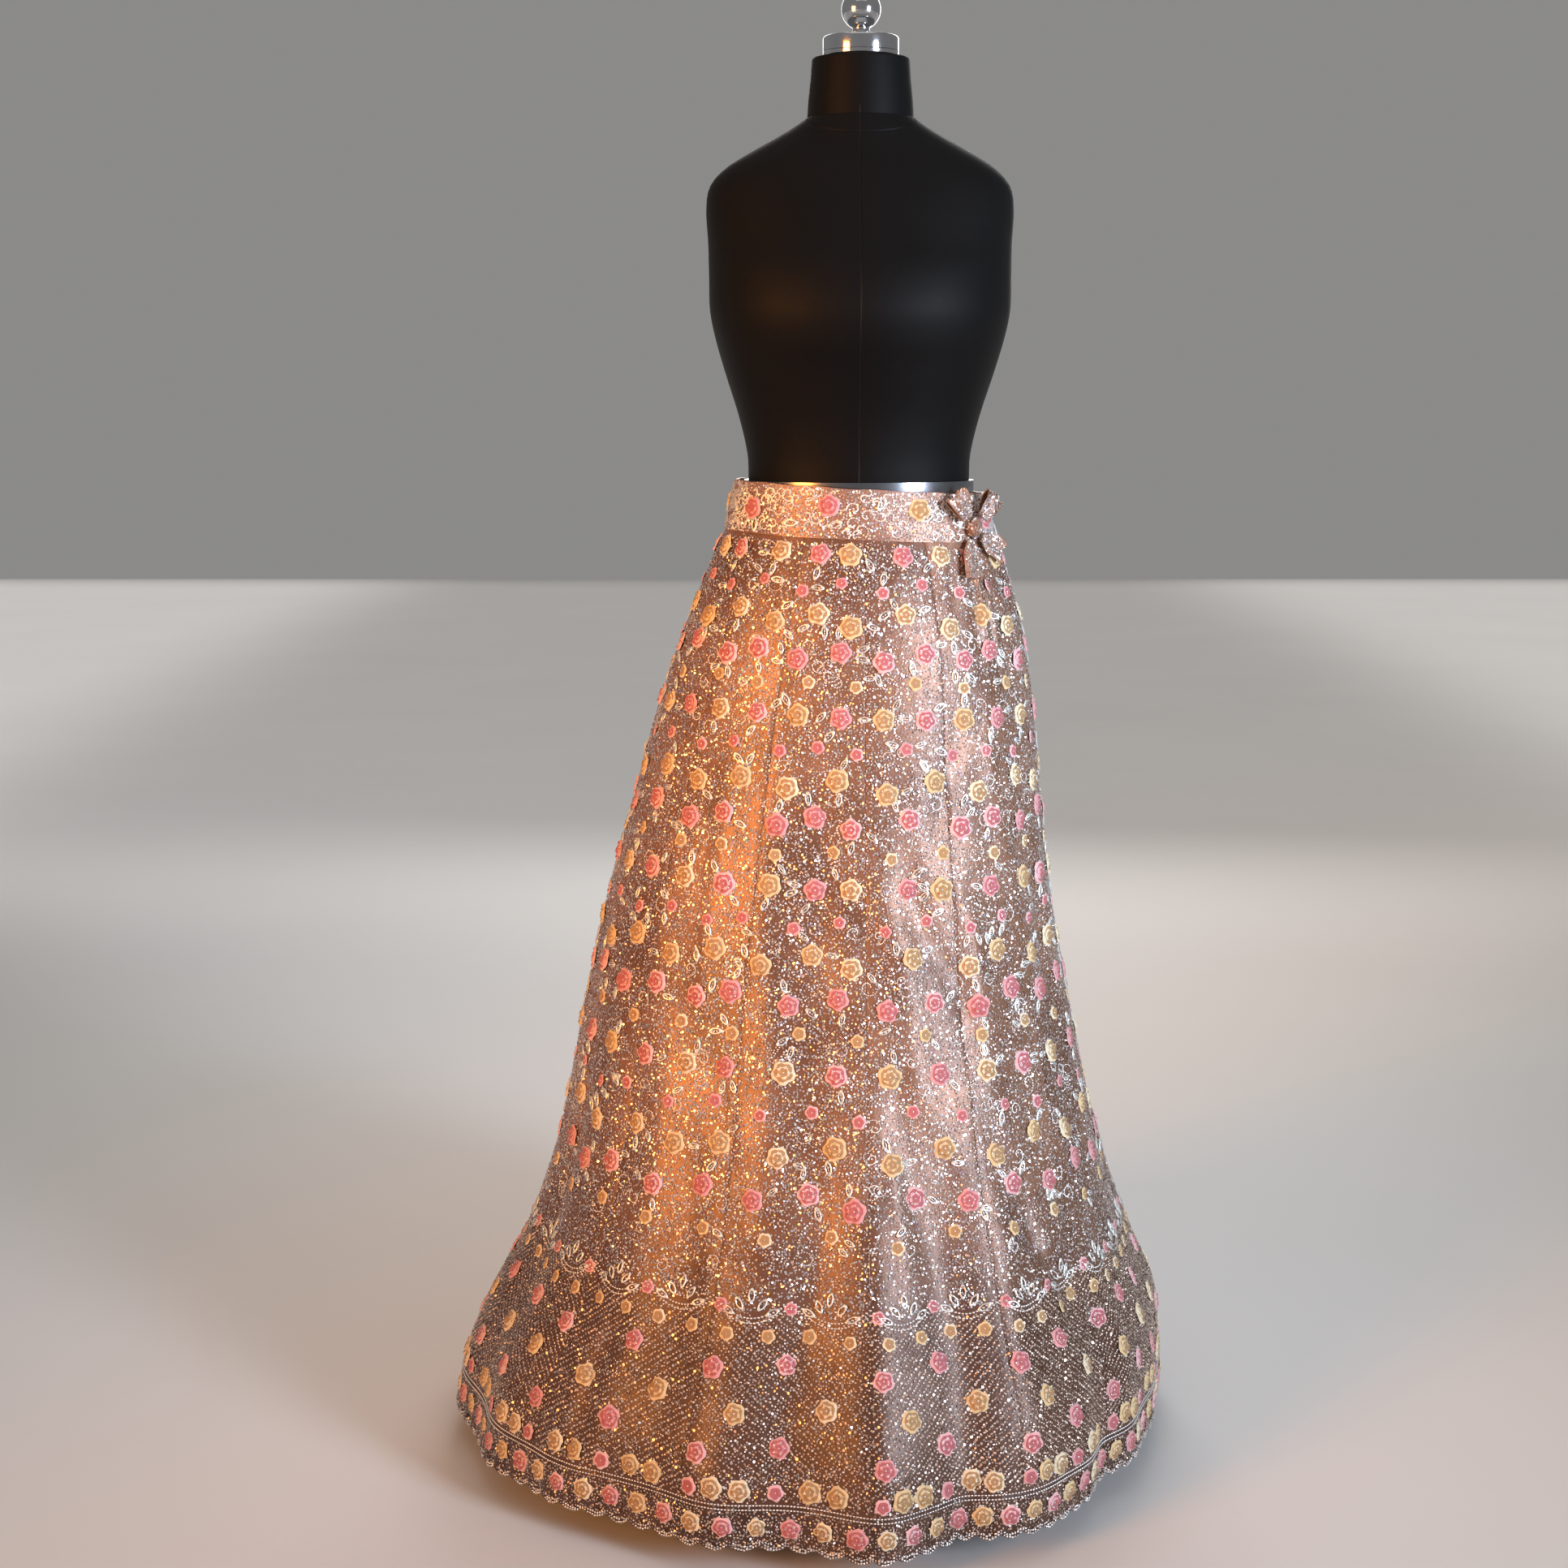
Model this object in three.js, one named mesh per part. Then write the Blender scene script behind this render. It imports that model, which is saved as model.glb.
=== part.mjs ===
// A floor-length lehenga skirt worn by a limbless tailor's dress form on a disc stand.
// Millimetres, +Z up. The origin is the middle of the stand's underside, and -Y is the front.
// Angles go round the skirt from the front (0 degrees) towards +X (90 degrees).
import * as THREE from "three";

const CLOTH = 2; // thickness of the embroidered cloth
const SEAM_GAP = 0.3; // air between two pieces that are sewn or stacked
const HALF_GAP = SEAM_GAP / 2;
const RADIANS = Math.PI / 180;

// The skirt is fourteen flared panels with a scalloped border strip under each one.
const PANELS = 14;
const PANEL_STEP = 360 / PANELS;
const FIRST_SEAM = 1;
const PANEL_COLUMNS = 5;
const PANEL_ROWS = 13;
const HEM_HEIGHT = 30;
const WAIST_SEAM_HEIGHT = 1000;
const WAIST_SEAM_TILT = -0.04; // rise for each millimetre towards +X
const BORDER_SHARE = 0.046; // the border's share of the height from hem to waist seam
const SCALLOPS = 7; // for each panel
const SCALLOP_COLUMNS = 4;
const SCALLOP_DEPTH = 6;

// Half-widths of the skirt at shares of its height, from the hem (0) to the waist seam (1).
const SKIRT_SECTIONS = [
  { share: 0.0, left: 445, right: 346, front: 401, back: 394 },
  { share: 0.062, left: 432, right: 345, front: 395, back: 391 },
  { share: 0.124, left: 408, right: 337, front: 374, back: 374 },
  { share: 0.196, left: 368, right: 308, front: 334, back: 338 },
  { share: 0.31, left: 329, right: 273, front: 281, back: 290 },
  { share: 0.443, left: 304, right: 243, front: 238, back: 248 },
  { share: 0.577, left: 277, right: 216, front: 203, back: 214 },
  { share: 0.711, left: 241, right: 200, front: 176, back: 186 },
  { share: 0.835, left: 205, right: 188, front: 156, back: 164 },
  { share: 0.928, left: 172, right: 171, front: 136, back: 140 },
  { share: 1.0, left: 143, right: 147, front: 112, back: 114 },
];

// The large soft folds: where each one hangs, how far it stands out at the hem (a trough is
// negative), how wide it is in degrees, and the share of the height at which it dies away.
const FOLDS = [
  { angle: 2, depth: 24, width: 7, reach: 0.62 },
  { angle: 17, depth: -12, width: 4.5, reach: 0.45 },
  { angle: 28, depth: 8, width: 8, reach: 0.7 },
  { angle: 50, depth: -14, width: 6, reach: 0.4 },
  { angle: 69, depth: -7, width: 12, reach: 0.5 },
  { angle: 98, depth: 13, width: 10, reach: 0.6 },
  { angle: 128, depth: 18, width: 11, reach: 0.72 },
  { angle: 157, depth: 12, width: 8, reach: 0.55 },
  { angle: 186, depth: 16, width: 11, reach: 0.66 },
  { angle: 219, depth: 13, width: 9, reach: 0.58 },
  { angle: 247, depth: 17, width: 12, reach: 0.7 },
  { angle: 278, depth: 12, width: 9, reach: 0.52 },
  { angle: 302, depth: 13, width: 8, reach: 0.6 },
  { angle: 317, depth: 13, width: 6, reach: 0.68 },
  { angle: 340, depth: 15, width: 8, reach: 0.56 },
];
const FOLD_SET_BACK = 5; // the folds' average depth, taken off the section between them

// The waistband, a tilted band round the form, open where its drawstring ties.
const BAND_TOP_HEIGHT = 1052;
const BAND_TOP_TILT = -0.055;
const BAND_SECTIONS = {
  bottom: { left: 144, right: 148, front: 113, back: 115 },
  top: { left: 131, right: 134, front: 104, back: 104 },
};
const BAND_COLUMNS = 60;
const BAND_ROWS = 2;
const OPENING_ANGLE = FIRST_SEAM + 2 * PANEL_STEP; // over the side seam
const OPENING_HALF_WIDTH = 1.2; // degrees

// The dress form's body: half-widths of its horizontal sections.
const TORSO_SECTIONS = [
  { height: 1058.6, side: 118, front: 92, back: 88 },
  { height: 1085, side: 119, front: 93, back: 89 },
  { height: 1125, side: 128, front: 101, back: 93 },
  { height: 1170, side: 142, front: 117, back: 99 },
  { height: 1205, side: 152, front: 131, back: 104 },
  { height: 1235, side: 158, front: 136, back: 108 },
  { height: 1270, side: 159, front: 129, back: 110 },
  { height: 1305, side: 160, front: 112, back: 109 },
  { height: 1340, side: 162, front: 95, back: 103 },
  { height: 1364, side: 158, front: 83, back: 94 },
  { height: 1382, side: 142, front: 75, back: 85 },
  { height: 1398, side: 116, front: 68, back: 76 },
  { height: 1412, side: 90, front: 63, back: 69 },
  { height: 1424, side: 69, front: 60, back: 63 },
  { height: 1432, side: 58, front: 57, back: 58 },
];
const HIP_SECTIONS = [
  { height: 762, side: 150, front: 98, back: 108 },
  { height: 800, side: 160, front: 106, back: 118 },
  { height: 860, side: 163, front: 110, back: 122 },
  { height: 920, side: 154, front: 108, back: 115 },
  { height: 975, side: 138, front: 101, back: 103 },
  { height: 1010, side: 127, front: 97, back: 95 },
  { height: 1031.7, side: 121, front: 94, back: 90 },
];
const FORM_COLUMNS = 40;
const FORM_SQUARENESS = 2.25; // exponent of the sections: 2 is an ellipse

const WAIST_RING = { bottom: 1032, top: 1058.3, side: 123, front: 97, back: 93 };
const NECK = { bottom: 1432.3, top: 1493, bottomRadius: 56, topRadius: 51 };
const CAP = { bottom: 1493.3, top: 1515, radius: 39.5, bevel: 3 };
const FINIAL = { bottom: 1515.3, ballHeight: 1542, ballRadius: 20.5, stemRadius: 9, flangeRadius: 15 };
const POLE = { radius: 14, bottom: 40.3 };
const COLLAR = { radius: 24, top: 761.7, bottom: 716 };
const BASE = { radius: 165, rim: 10, hubRadius: 34, hubTop: 40 };

// The drawstring is a flat covered strip, tied in a bow outside the opening.
const STRIP_WIDTH = 24;
const BOW_HEIGHT = 1012;
const BOW_STAND_OFF = 12; // from the band to the middle of the knot

// A cubic through the table's values, with each slope taken from the neighbours.
function tableValue(rows, key, column, at) {
  const last = rows.length - 1;
  const clamped = Math.min(Math.max(at, rows[0][key]), rows[last][key]);
  let i = 0;
  while (i < last - 1 && clamped > rows[i + 1][key]) i += 1;
  const slope = (n) => {
    const before = rows[Math.max(n - 1, 0)];
    const after = rows[Math.min(n + 1, last)];
    return (after[column] - before[column]) / (after[key] - before[key]);
  };
  const span = rows[i + 1][key] - rows[i][key];
  const t = (clamped - rows[i][key]) / span;
  const rise = t * t * (3 - 2 * t);
  return (
    rows[i][column] * (1 - rise) +
    rows[i + 1][column] * rise +
    span * (slope(i) * t * (1 - t) ** 2 - slope(i + 1) * t * t * (1 - t))
  );
}

function foldDepth(angle, share) {
  const fade = (part) => (part >= 1 ? 0 : (1 - part) ** 2 * (1 + 2 * part));
  let depth = -FOLD_SET_BACK * fade(share / 0.6);
  for (const fold of FOLDS) {
    const away = ((((angle - fold.angle) % 360) + 540) % 360) - 180;
    depth += fold.depth * Math.exp(-((away / fold.width) ** 2)) * fade(share / fold.reach);
  }
  return depth;
}

// A point of an oval wall: its half-widths, the angle round it and the distance out from it.
function ovalPoint(half, angle, out) {
  const s = Math.sin(angle * RADIANS);
  const c = Math.cos(angle * RADIANS);
  const wide = s >= 0 ? half.right : half.left;
  const deep = c >= 0 ? half.front : half.back;
  const normal = new THREE.Vector2(s / wide, -c / deep).normalize();
  return new THREE.Vector2(wide * s, -deep * c).addScaledVector(normal, out);
}

function skirtPoint(angle, share, inset, lift = 0) {
  const half = {};
  for (const side of ["left", "right", "front", "back"])
    half[side] = tableValue(SKIRT_SECTIONS, "share", side, share);
  const flat = ovalPoint(half, angle, foldDepth(angle, share) - inset);
  const seam = WAIST_SEAM_HEIGHT + WAIST_SEAM_TILT * flat.x;
  return new THREE.Vector3(flat.x, flat.y, HEM_HEIGHT + share * (seam - HEM_HEIGHT) + lift);
}

function bandPoint(angle, rise, inset) {
  const half = {};
  for (const side of ["left", "right", "front", "back"])
    half[side] = BAND_SECTIONS.bottom[side] * (1 - rise) + BAND_SECTIONS.top[side] * rise;
  const flat = ovalPoint(half, angle, -inset);
  const low = WAIST_SEAM_HEIGHT + WAIST_SEAM_TILT * flat.x + SEAM_GAP;
  const high = BAND_TOP_HEIGHT + BAND_TOP_TILT * flat.x;
  return new THREE.Vector3(flat.x, flat.y, low + rise * (high - low));
}

function meshGeometry(points, faces) {
  const geometry = new THREE.BufferGeometry();
  geometry.setAttribute(
    "position",
    new THREE.Float32BufferAttribute(points.flatMap((p) => [p.x, p.y, p.z]), 3),
  );
  geometry.setIndex(faces);
  geometry.computeVertexNormals();
  return geometry;
}

// A closed wall from a function of (across 0 to 1, up 0 to 1, depth under the outer face).
function clothWall(pointAt, columns, rows) {
  const points = [];
  const faces = [];
  const wide = columns + 1;
  const layer = wide * (rows + 1);
  for (const depth of [0, CLOTH])
    for (let row = 0; row <= rows; row += 1)
      for (let column = 0; column <= columns; column += 1)
        points.push(pointAt(column / columns, row / rows, depth));
  const quad = (a, b, c, d) => faces.push(a, b, c, a, c, d);
  for (let row = 0; row < rows; row += 1)
    for (let column = 0; column < columns; column += 1) {
      const a = row * wide + column;
      quad(a, a + 1, a + 1 + wide, a + wide);
      quad(layer + a, layer + a + wide, layer + a + 1 + wide, layer + a + 1);
    }
  for (let column = 0; column < columns; column += 1) {
    const top = rows * wide + column;
    quad(column, column + layer, column + 1 + layer, column + 1);
    quad(top, top + 1, top + 1 + layer, top + layer);
  }
  for (let row = 0; row < rows; row += 1) {
    const start = row * wide;
    const end = start + columns;
    quad(start, start + wide, start + wide + layer, start + layer);
    quad(end, end + layer, end + wide + layer, end + wide);
  }
  return meshGeometry(points, faces);
}

// A solid body from horizontal sections, with flat ends.
function loftedBody(sections) {
  const points = [];
  const faces = [];
  for (const section of sections)
    for (let column = 0; column < FORM_COLUMNS; column += 1) {
      const turn = (column / FORM_COLUMNS) * 2 * Math.PI;
      const bend = (value) => Math.sign(value) * Math.abs(value) ** (2 / FORM_SQUARENESS);
      const deep = Math.cos(turn) >= 0 ? section.front : section.back;
      points.push(
        new THREE.Vector3(section.side * bend(Math.sin(turn)), -deep * bend(Math.cos(turn)), section.height),
      );
    }
  for (let ring = 0; ring < sections.length - 1; ring += 1)
    for (let column = 0; column < FORM_COLUMNS; column += 1) {
      const next = (column + 1) % FORM_COLUMNS;
      const low = ring * FORM_COLUMNS;
      const high = low + FORM_COLUMNS;
      faces.push(low + column, low + next, high + next, low + column, high + next, high + column);
    }
  const topRing = (sections.length - 1) * FORM_COLUMNS;
  const bottomMiddle = points.push(new THREE.Vector3(0, 0, sections[0].height)) - 1;
  const topMiddle = points.push(new THREE.Vector3(0, 0, sections.at(-1).height)) - 1;
  for (let column = 0; column < FORM_COLUMNS; column += 1) {
    const next = (column + 1) % FORM_COLUMNS;
    faces.push(bottomMiddle, next, column, topMiddle, topRing + column, topRing + next);
  }
  return meshGeometry(points, faces);
}

// A turned solid about the vertical axis, from [radius, height] pairs that start and end on it.
function turned(profile, segments = 40) {
  const outline = profile.map(([radius, height]) => new THREE.Vector2(radius, height));
  return new THREE.LatheGeometry(outline, segments).rotateX(Math.PI / 2);
}

const panelCloth = new THREE.MeshStandardMaterial({ color: 0xb98f82, roughness: 0.45, metalness: 0.1 });
const borderCloth = new THREE.MeshStandardMaterial({ color: 0xa98072, roughness: 0.5, metalness: 0.1 });
const bandCloth = new THREE.MeshStandardMaterial({ color: 0xc9a08f, roughness: 0.4, metalness: 0.1 });
const formCover = new THREE.MeshStandardMaterial({ color: 0x1b1b1d, roughness: 0.6, metalness: 0 });
const chrome = new THREE.MeshStandardMaterial({ color: 0xd6d6d8, roughness: 0.12, metalness: 1 });
const standPaint = new THREE.MeshStandardMaterial({ color: 0x222224, roughness: 0.35, metalness: 0.3 });

const lehenga = new THREE.Group();
function add(name, geometry, material) {
  const mesh = new THREE.Mesh(geometry, material);
  mesh.name = name;
  lehenga.add(mesh);
  return mesh;
}

// The angle at a share of a panel's width, kept half a seam gap inside its edges.
function panelAngle(panel, across, share) {
  const start = FIRST_SEAM + panel * PANEL_STEP;
  const middle = skirtPoint(start, share, 0);
  const trim = HALF_GAP / (Math.hypot(middle.x, middle.y) * RADIANS);
  return start + trim + across * (PANEL_STEP - 2 * trim);
}

function addPanel(panel) {
  const gapShare = SEAM_GAP / (WAIST_SEAM_HEIGHT - HEM_HEIGHT);
  const low = BORDER_SHARE + gapShare;
  const number = String(panel + 1).padStart(2, "0");
  const panelWall = clothWall(
    (across, up, depth) => {
      const share = low + up * (1 - low);
      return skirtPoint(panelAngle(panel, across, share), share, depth);
    },
    PANEL_COLUMNS,
    PANEL_ROWS,
  );
  add(`panel_${number}`, panelWall, panelCloth);
  const borderWall = clothWall(
    (across, up, depth) => {
      const share = up * BORDER_SHARE;
      const scallop = 1 - Math.abs(Math.sin(across * SCALLOPS * Math.PI));
      return skirtPoint(panelAngle(panel, across, share), share, depth, SCALLOP_DEPTH * scallop * (1 - up));
    },
    SCALLOPS * SCALLOP_COLUMNS,
    1,
  );
  add(`border_${number}`, borderWall, borderCloth);
}

function addWaistband() {
  const start = OPENING_ANGLE + OPENING_HALF_WIDTH;
  const sweep = 360 - 2 * OPENING_HALF_WIDTH;
  const wall = clothWall(
    (across, up, depth) => bandPoint(start + across * sweep, up, depth),
    BAND_COLUMNS,
    BAND_ROWS,
  );
  add("waistband", wall, bandCloth);
}

// A loop of the strip: a flattened ring, as long and half as high as given, starting at x = 0.
function stripLoop(length, height) {
  const shape = new THREE.Shape();
  shape.absellipse(length / 2, 0, length / 2, height, 0, 2 * Math.PI);
  const hole = new THREE.Path();
  hole.absellipse(length / 2, 0, length / 2 - CLOTH, height - CLOTH, 0, 2 * Math.PI);
  shape.holes.push(hole);
  const options = { depth: STRIP_WIDTH, bevelEnabled: false, curveSegments: 14 };
  return new THREE.ExtrudeGeometry(shape, options).translate(0, 0, -STRIP_WIDTH / 2);
}

// A free end of the strip: narrow at the knot, cut to a slanting point.
function stripEnd(length) {
  const shape = new THREE.Shape([
    new THREE.Vector2(0, -5),
    new THREE.Vector2(length * 0.35, -STRIP_WIDTH / 2),
    new THREE.Vector2(length, -STRIP_WIDTH / 2),
    new THREE.Vector2(length * 0.86, STRIP_WIDTH / 2),
    new THREE.Vector2(length * 0.35, STRIP_WIDTH / 2),
    new THREE.Vector2(0, 5),
  ]);
  return new THREE.ExtrudeGeometry(shape, { depth: CLOTH, bevelEnabled: false });
}

// The bow's own frame has X along the band to its right, Y up it, and Z straight out of it.
function addBow() {
  const bow = new THREE.Group();
  const foot = bandPoint(OPENING_ANGLE, 0.55, -BOW_STAND_OFF);
  const out = new THREE.Vector3(foot.x / 148 ** 2, foot.y / 113 ** 2, 0).normalize();
  const up = new THREE.Vector3(0, 0, 1);
  const along = new THREE.Vector3().crossVectors(up, out);
  bow.applyMatrix4(new THREE.Matrix4().makeBasis(along, up, out).setPosition(foot.x, foot.y, BOW_HEIGHT));
  const place = (name, geometry, x, y, z, turns) => {
    const mesh = add(name, geometry, bandCloth);
    mesh.position.set(x, y, z);
    mesh.rotation.set(turns[0] * RADIANS, turns[1] * RADIANS, turns[2] * RADIANS, "ZYX");
    bow.add(mesh);
  };
  const knot = new THREE.SphereGeometry(1, 16, 10).scale(9, 11, 8);
  place("tie_knot", knot, 0, 0, 0, [0, 0, 0]);
  place("tie_loop_front", stripLoop(32, 7), -11, 9, 0.5, [78, 0, 128]);
  place("tie_loop_side", stripLoop(30, 7), 11, 9, 0.5, [82, 0, 50]);
  place("tie_end_front", stripEnd(46), -5, -13, -1, [0, -20, -106]);
  place("tie_end_side", stripEnd(36), 12, -11, -1, [0, -8, -30]);
  lehenga.add(bow);
}

function addForm() {
  add("form_torso", loftedBody(TORSO_SECTIONS), formCover);
  add("form_hips", loftedBody(HIP_SECTIONS), formCover);
  const { bottom, top, side, front, back } = WAIST_RING;
  add("form_waist_ring", loftedBody([bottom, top].map((height) => ({ height, side, front, back }))), chrome);
  add(
    "form_neck",
    turned([
      [0, NECK.bottom],
      [NECK.bottomRadius, NECK.bottom],
      [NECK.topRadius, NECK.top],
      [0, NECK.top],
    ]),
    formCover,
  );
  add(
    "neck_cap",
    turned([
      [0, CAP.bottom],
      [CAP.radius, CAP.bottom],
      [CAP.radius, CAP.top - CAP.bevel],
      [CAP.radius - CAP.bevel, CAP.top],
      [0, CAP.top],
    ]),
    chrome,
  );
  const ballStart = Math.asin(FINIAL.stemRadius / FINIAL.ballRadius);
  const ballSteps = 14;
  const ball = [];
  for (let step = 0; step <= ballSteps; step += 1) {
    const turn = Math.PI - ballStart - (step / ballSteps) * (Math.PI - ballStart);
    const radius = step === ballSteps ? 0 : FINIAL.ballRadius * Math.sin(turn);
    ball.push([radius, FINIAL.ballHeight + FINIAL.ballRadius * Math.cos(turn)]);
  }
  const flangeTop = FINIAL.bottom + 3;
  add(
    "neck_finial",
    turned([
      [0, FINIAL.bottom],
      [FINIAL.flangeRadius, FINIAL.bottom],
      [FINIAL.flangeRadius, flangeTop],
      [FINIAL.stemRadius, flangeTop + 1.5],
      ...ball,
    ], 28),
    chrome,
  );
}

function addStand() {
  add(
    "stand_base",
    turned([
      [0, 0],
      [BASE.radius - 2, 0],
      [BASE.radius, 2],
      [BASE.radius, BASE.rim - 3],
      [BASE.radius - 5, BASE.rim],
      [BASE.hubRadius + 8, BASE.rim + 6],
      [BASE.hubRadius - 8, BASE.hubTop],
      [0, BASE.hubTop],
    ], 48),
    standPaint,
  );
  add(
    "stand_pole",
    turned([
      [0, POLE.bottom],
      [POLE.radius, POLE.bottom],
      [POLE.radius, COLLAR.bottom - SEAM_GAP],
      [0, COLLAR.bottom - SEAM_GAP],
    ], 28),
    chrome,
  );
  add(
    "stand_collar",
    turned([
      [0, COLLAR.bottom],
      [COLLAR.radius - 3, COLLAR.bottom],
      [COLLAR.radius, COLLAR.bottom + 3],
      [COLLAR.radius, COLLAR.top],
      [0, COLLAR.top],
    ], 28),
    standPaint,
  );
}

for (let panel = 0; panel < PANELS; panel += 1) addPanel(panel);
addWaistband();
addBow();
addForm();
addStand();

export default lehenga;
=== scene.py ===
"""A sequinned lehenga skirt with thread roses, hanging on a black limbless dress form.

Metres, +Z up, -Y is the front. Angles go round the skirt from the front towards +X.
"""

import math

import bmesh
import bpy
import numpy as np
from mathutils import Matrix, Vector


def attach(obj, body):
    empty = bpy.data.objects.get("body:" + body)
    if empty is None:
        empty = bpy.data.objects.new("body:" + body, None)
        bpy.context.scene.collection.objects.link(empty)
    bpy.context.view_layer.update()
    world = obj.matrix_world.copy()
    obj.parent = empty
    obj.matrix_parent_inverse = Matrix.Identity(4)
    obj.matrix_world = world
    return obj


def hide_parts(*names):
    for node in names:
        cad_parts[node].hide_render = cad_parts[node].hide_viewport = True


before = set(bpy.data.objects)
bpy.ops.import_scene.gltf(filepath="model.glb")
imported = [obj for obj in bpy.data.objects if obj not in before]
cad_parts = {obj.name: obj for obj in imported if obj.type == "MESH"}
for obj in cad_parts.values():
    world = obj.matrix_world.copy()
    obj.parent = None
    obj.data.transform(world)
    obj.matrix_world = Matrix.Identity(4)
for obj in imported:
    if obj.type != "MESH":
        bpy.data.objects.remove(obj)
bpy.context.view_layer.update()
chance = np.random.default_rng(42)

# --- sizes of the skirt, as its solids have them ---

CLOTH = 0.002
HALF_GAP = 0.00015
PANELS = 14
STEP = 360 / PANELS
FIRST_SEAM = 1.0
HEM_HEIGHT = 0.030
SEAM_HEIGHT = 1.000
SEAM_TILT = -0.04
BORDER_SHARE = 0.046
SCALLOPS = 7
SCALLOP_DEPTH = 0.006
SET_BACK = 5
CLOTH_RUN = 1.03
MM = 0.001
FULL_TURN, QUARTER_TURN = 2 * np.pi, 1.57

# share of the height from hem to waist seam, then the half-widths left, right, front, back in mm
SECTIONS = np.array([
    (0.0, 445, 346, 401, 394), (0.062, 432, 345, 395, 391), (0.124, 408, 337, 374, 374),
    (0.196, 368, 308, 334, 338), (0.31, 329, 273, 281, 290), (0.443, 304, 243, 238, 248),
    (0.577, 277, 216, 203, 214), (0.711, 241, 200, 176, 186), (0.835, 205, 188, 156, 164),
    (0.928, 172, 171, 136, 140), (1.0, 143, 147, 112, 114),
], dtype=float).T

# the large soft folds: angle, depth at the hem in mm, width in degrees, share where it ends
FOLDS = [
    (2, 24, 7, 0.62), (17, -12, 4.5, 0.45), (28, 8, 8, 0.7), (50, -14, 6, 0.4), (69, -7, 12, 0.5),
    (98, 13, 10, 0.6), (128, 18, 11, 0.72), (157, 12, 8, 0.55), (186, 16, 11, 0.66), (219, 13, 9, 0.58),
    (247, 17, 12, 0.7), (278, 12, 9, 0.52), (302, 13, 8, 0.6), (317, 13, 6, 0.68), (340, 15, 8, 0.56),
]

# creases, given one by one: angle and share at both ends, depth in mm, width in degrees, sideways bow
CREASES = [
    (8.5, 0.24, 7.0, 0.37, 3.0, 1.6, 0.4), (44, 0.15, 40, 0.33, -7.0, 2.6, 3.2),
    (37, 0.2, 47, 0.3, 4.4, 2.2, -2.4), (55, 0.1, 49, 0.24, -4.2, 2.2, 1.6),
    (316, 0.05, 319, 0.2, -6.0, 1.9, 0.8), (3, 0.65, 23, 0.35, 5.0, 4.2, 2.6),
    (13, 0.68, 31, 0.44, -4.0, 4.0, -2.2), (27, 0.66, 37, 0.36, 4.2, 4.0, 2.4),
    (9, 0.46, 14, 0.2, -3.2, 3.0, -1.6), (29, 0.36, 31, 0.08, 3.4, 3.4, 1.2),
    (31, 0.84, 23, 0.66, -2.4, 3.6, 1.5), (44, 0.84, 52, 0.52, 3.0, 4.0, -1.8),
    (60, 0.7, 66, 0.3, -3.4, 3.6, 2.0), (347, 0.78, 355, 0.46, -3.4, 4.0, 1.6),
    (338, 0.7, 342, 0.36, 3.4, 4.0, -1.6), (331, 0.5, 338, 0.24, -3.2, 3.0, -1.8),
    (352, 0.34, 349, 0.08, -4.0, 2.6, 0.9), (322, 0.8, 330, 0.44, 2.6, 4.0, 1.6),
    (47, 1.0, 43, 0.86, -3.2, 2.4, 0.6), (52.6, 1.0, 53, 0.86, -2.6, 1.4, 0.3),
    (57, 1.0, 60, 0.84, -3.6, 2.3, -0.8), (64, 1.0, 70, 0.87, -2.4, 2.4, 0.5),
    (50, 1.0, 48, 0.9, 2.2, 1.6, 0.3), (38, 1.0, 34, 0.92, -1.6, 2.0, 0.3),
    (84, 0.5, 92, 0.2, -3.6, 3.0, 2.0), (105, 0.35, 100, 0.06, 3.2, 2.4, -1.6),
    (118, 0.8, 112, 0.5, -2.4, 3.6, 1.8), (137, 0.42, 143, 0.1, -4.0, 2.6, 1.4),
    (152, 1.0, 149, 0.9, -1.8, 2.4, 0.5), (168, 0.6, 172, 0.3, -3.0, 3.0, -1.8),
    (178, 0.24, 176, 0.04, 3.4, 2.2, 0.9), (197, 0.9, 204, 0.62, -2.0, 3.4, 1.4),
    (205, 0.4, 201, 0.12, -3.8, 2.6, -1.3), (232, 0.55, 236, 0.2, -3.2, 3.2, 1.7),
    (226, 1.0, 222, 0.9, -1.6, 2.6, 0.4), (262, 0.36, 266, 0.08, -4.2, 2.4, 1.2),
    (272, 0.75, 268, 0.45, -2.4, 3.4, -1.5), (288, 0.48, 292, 0.16, -3.4, 2.8, 1.6),
    (300, 1.0, 304, 0.88, -1.8, 2.6, 0.5), (309, 0.7, 313, 0.42, 2.2, 3.0, -1.0),
]

BAND_TOP, BAND_TOP_TILT = 1.052, -0.055
BAND_LOW = (0.144, 0.148, 0.113, 0.115)
BAND_HIGH = (0.131, 0.134, 0.104, 0.104)
OPENING = FIRST_SEAM + 2 * STEP
OPENING_HALF = 1.2
KNOT_HEIGHT, KNOT_STAND_OFF = 1.012, 0.012
STRIP_WIDTH = 0.024


def along_table(keys, values, at):
    """A smooth curve through a table's values."""
    at = np.clip(at, keys[0], keys[-1])
    last = len(keys) - 1
    i = np.clip(np.searchsorted(keys, at, side="right") - 1, 0, last - 1)
    row = np.arange(last + 1)
    before, after = np.maximum(row - 1, 0), np.minimum(row + 1, last)
    slope = (values[after] - values[before]) / (keys[after] - keys[before])
    span = keys[i + 1] - keys[i]
    t = (at - keys[i]) / span
    rise = t * t * (3 - 2 * t)
    bend = slope[i] * t * (1 - t) ** 2 - slope[i + 1] * t * t * (1 - t)
    return values[i] * (1 - rise) + values[i + 1] * rise + span * bend


def smooth(t):
    t = np.clip(t, 0, 1)
    return t * t * (3 - 2 * t)


def sine(degrees):
    return np.sin(np.radians(degrees))


def turn_between(angle, middle):
    return (angle - middle + 180) % 360 - 180


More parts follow.
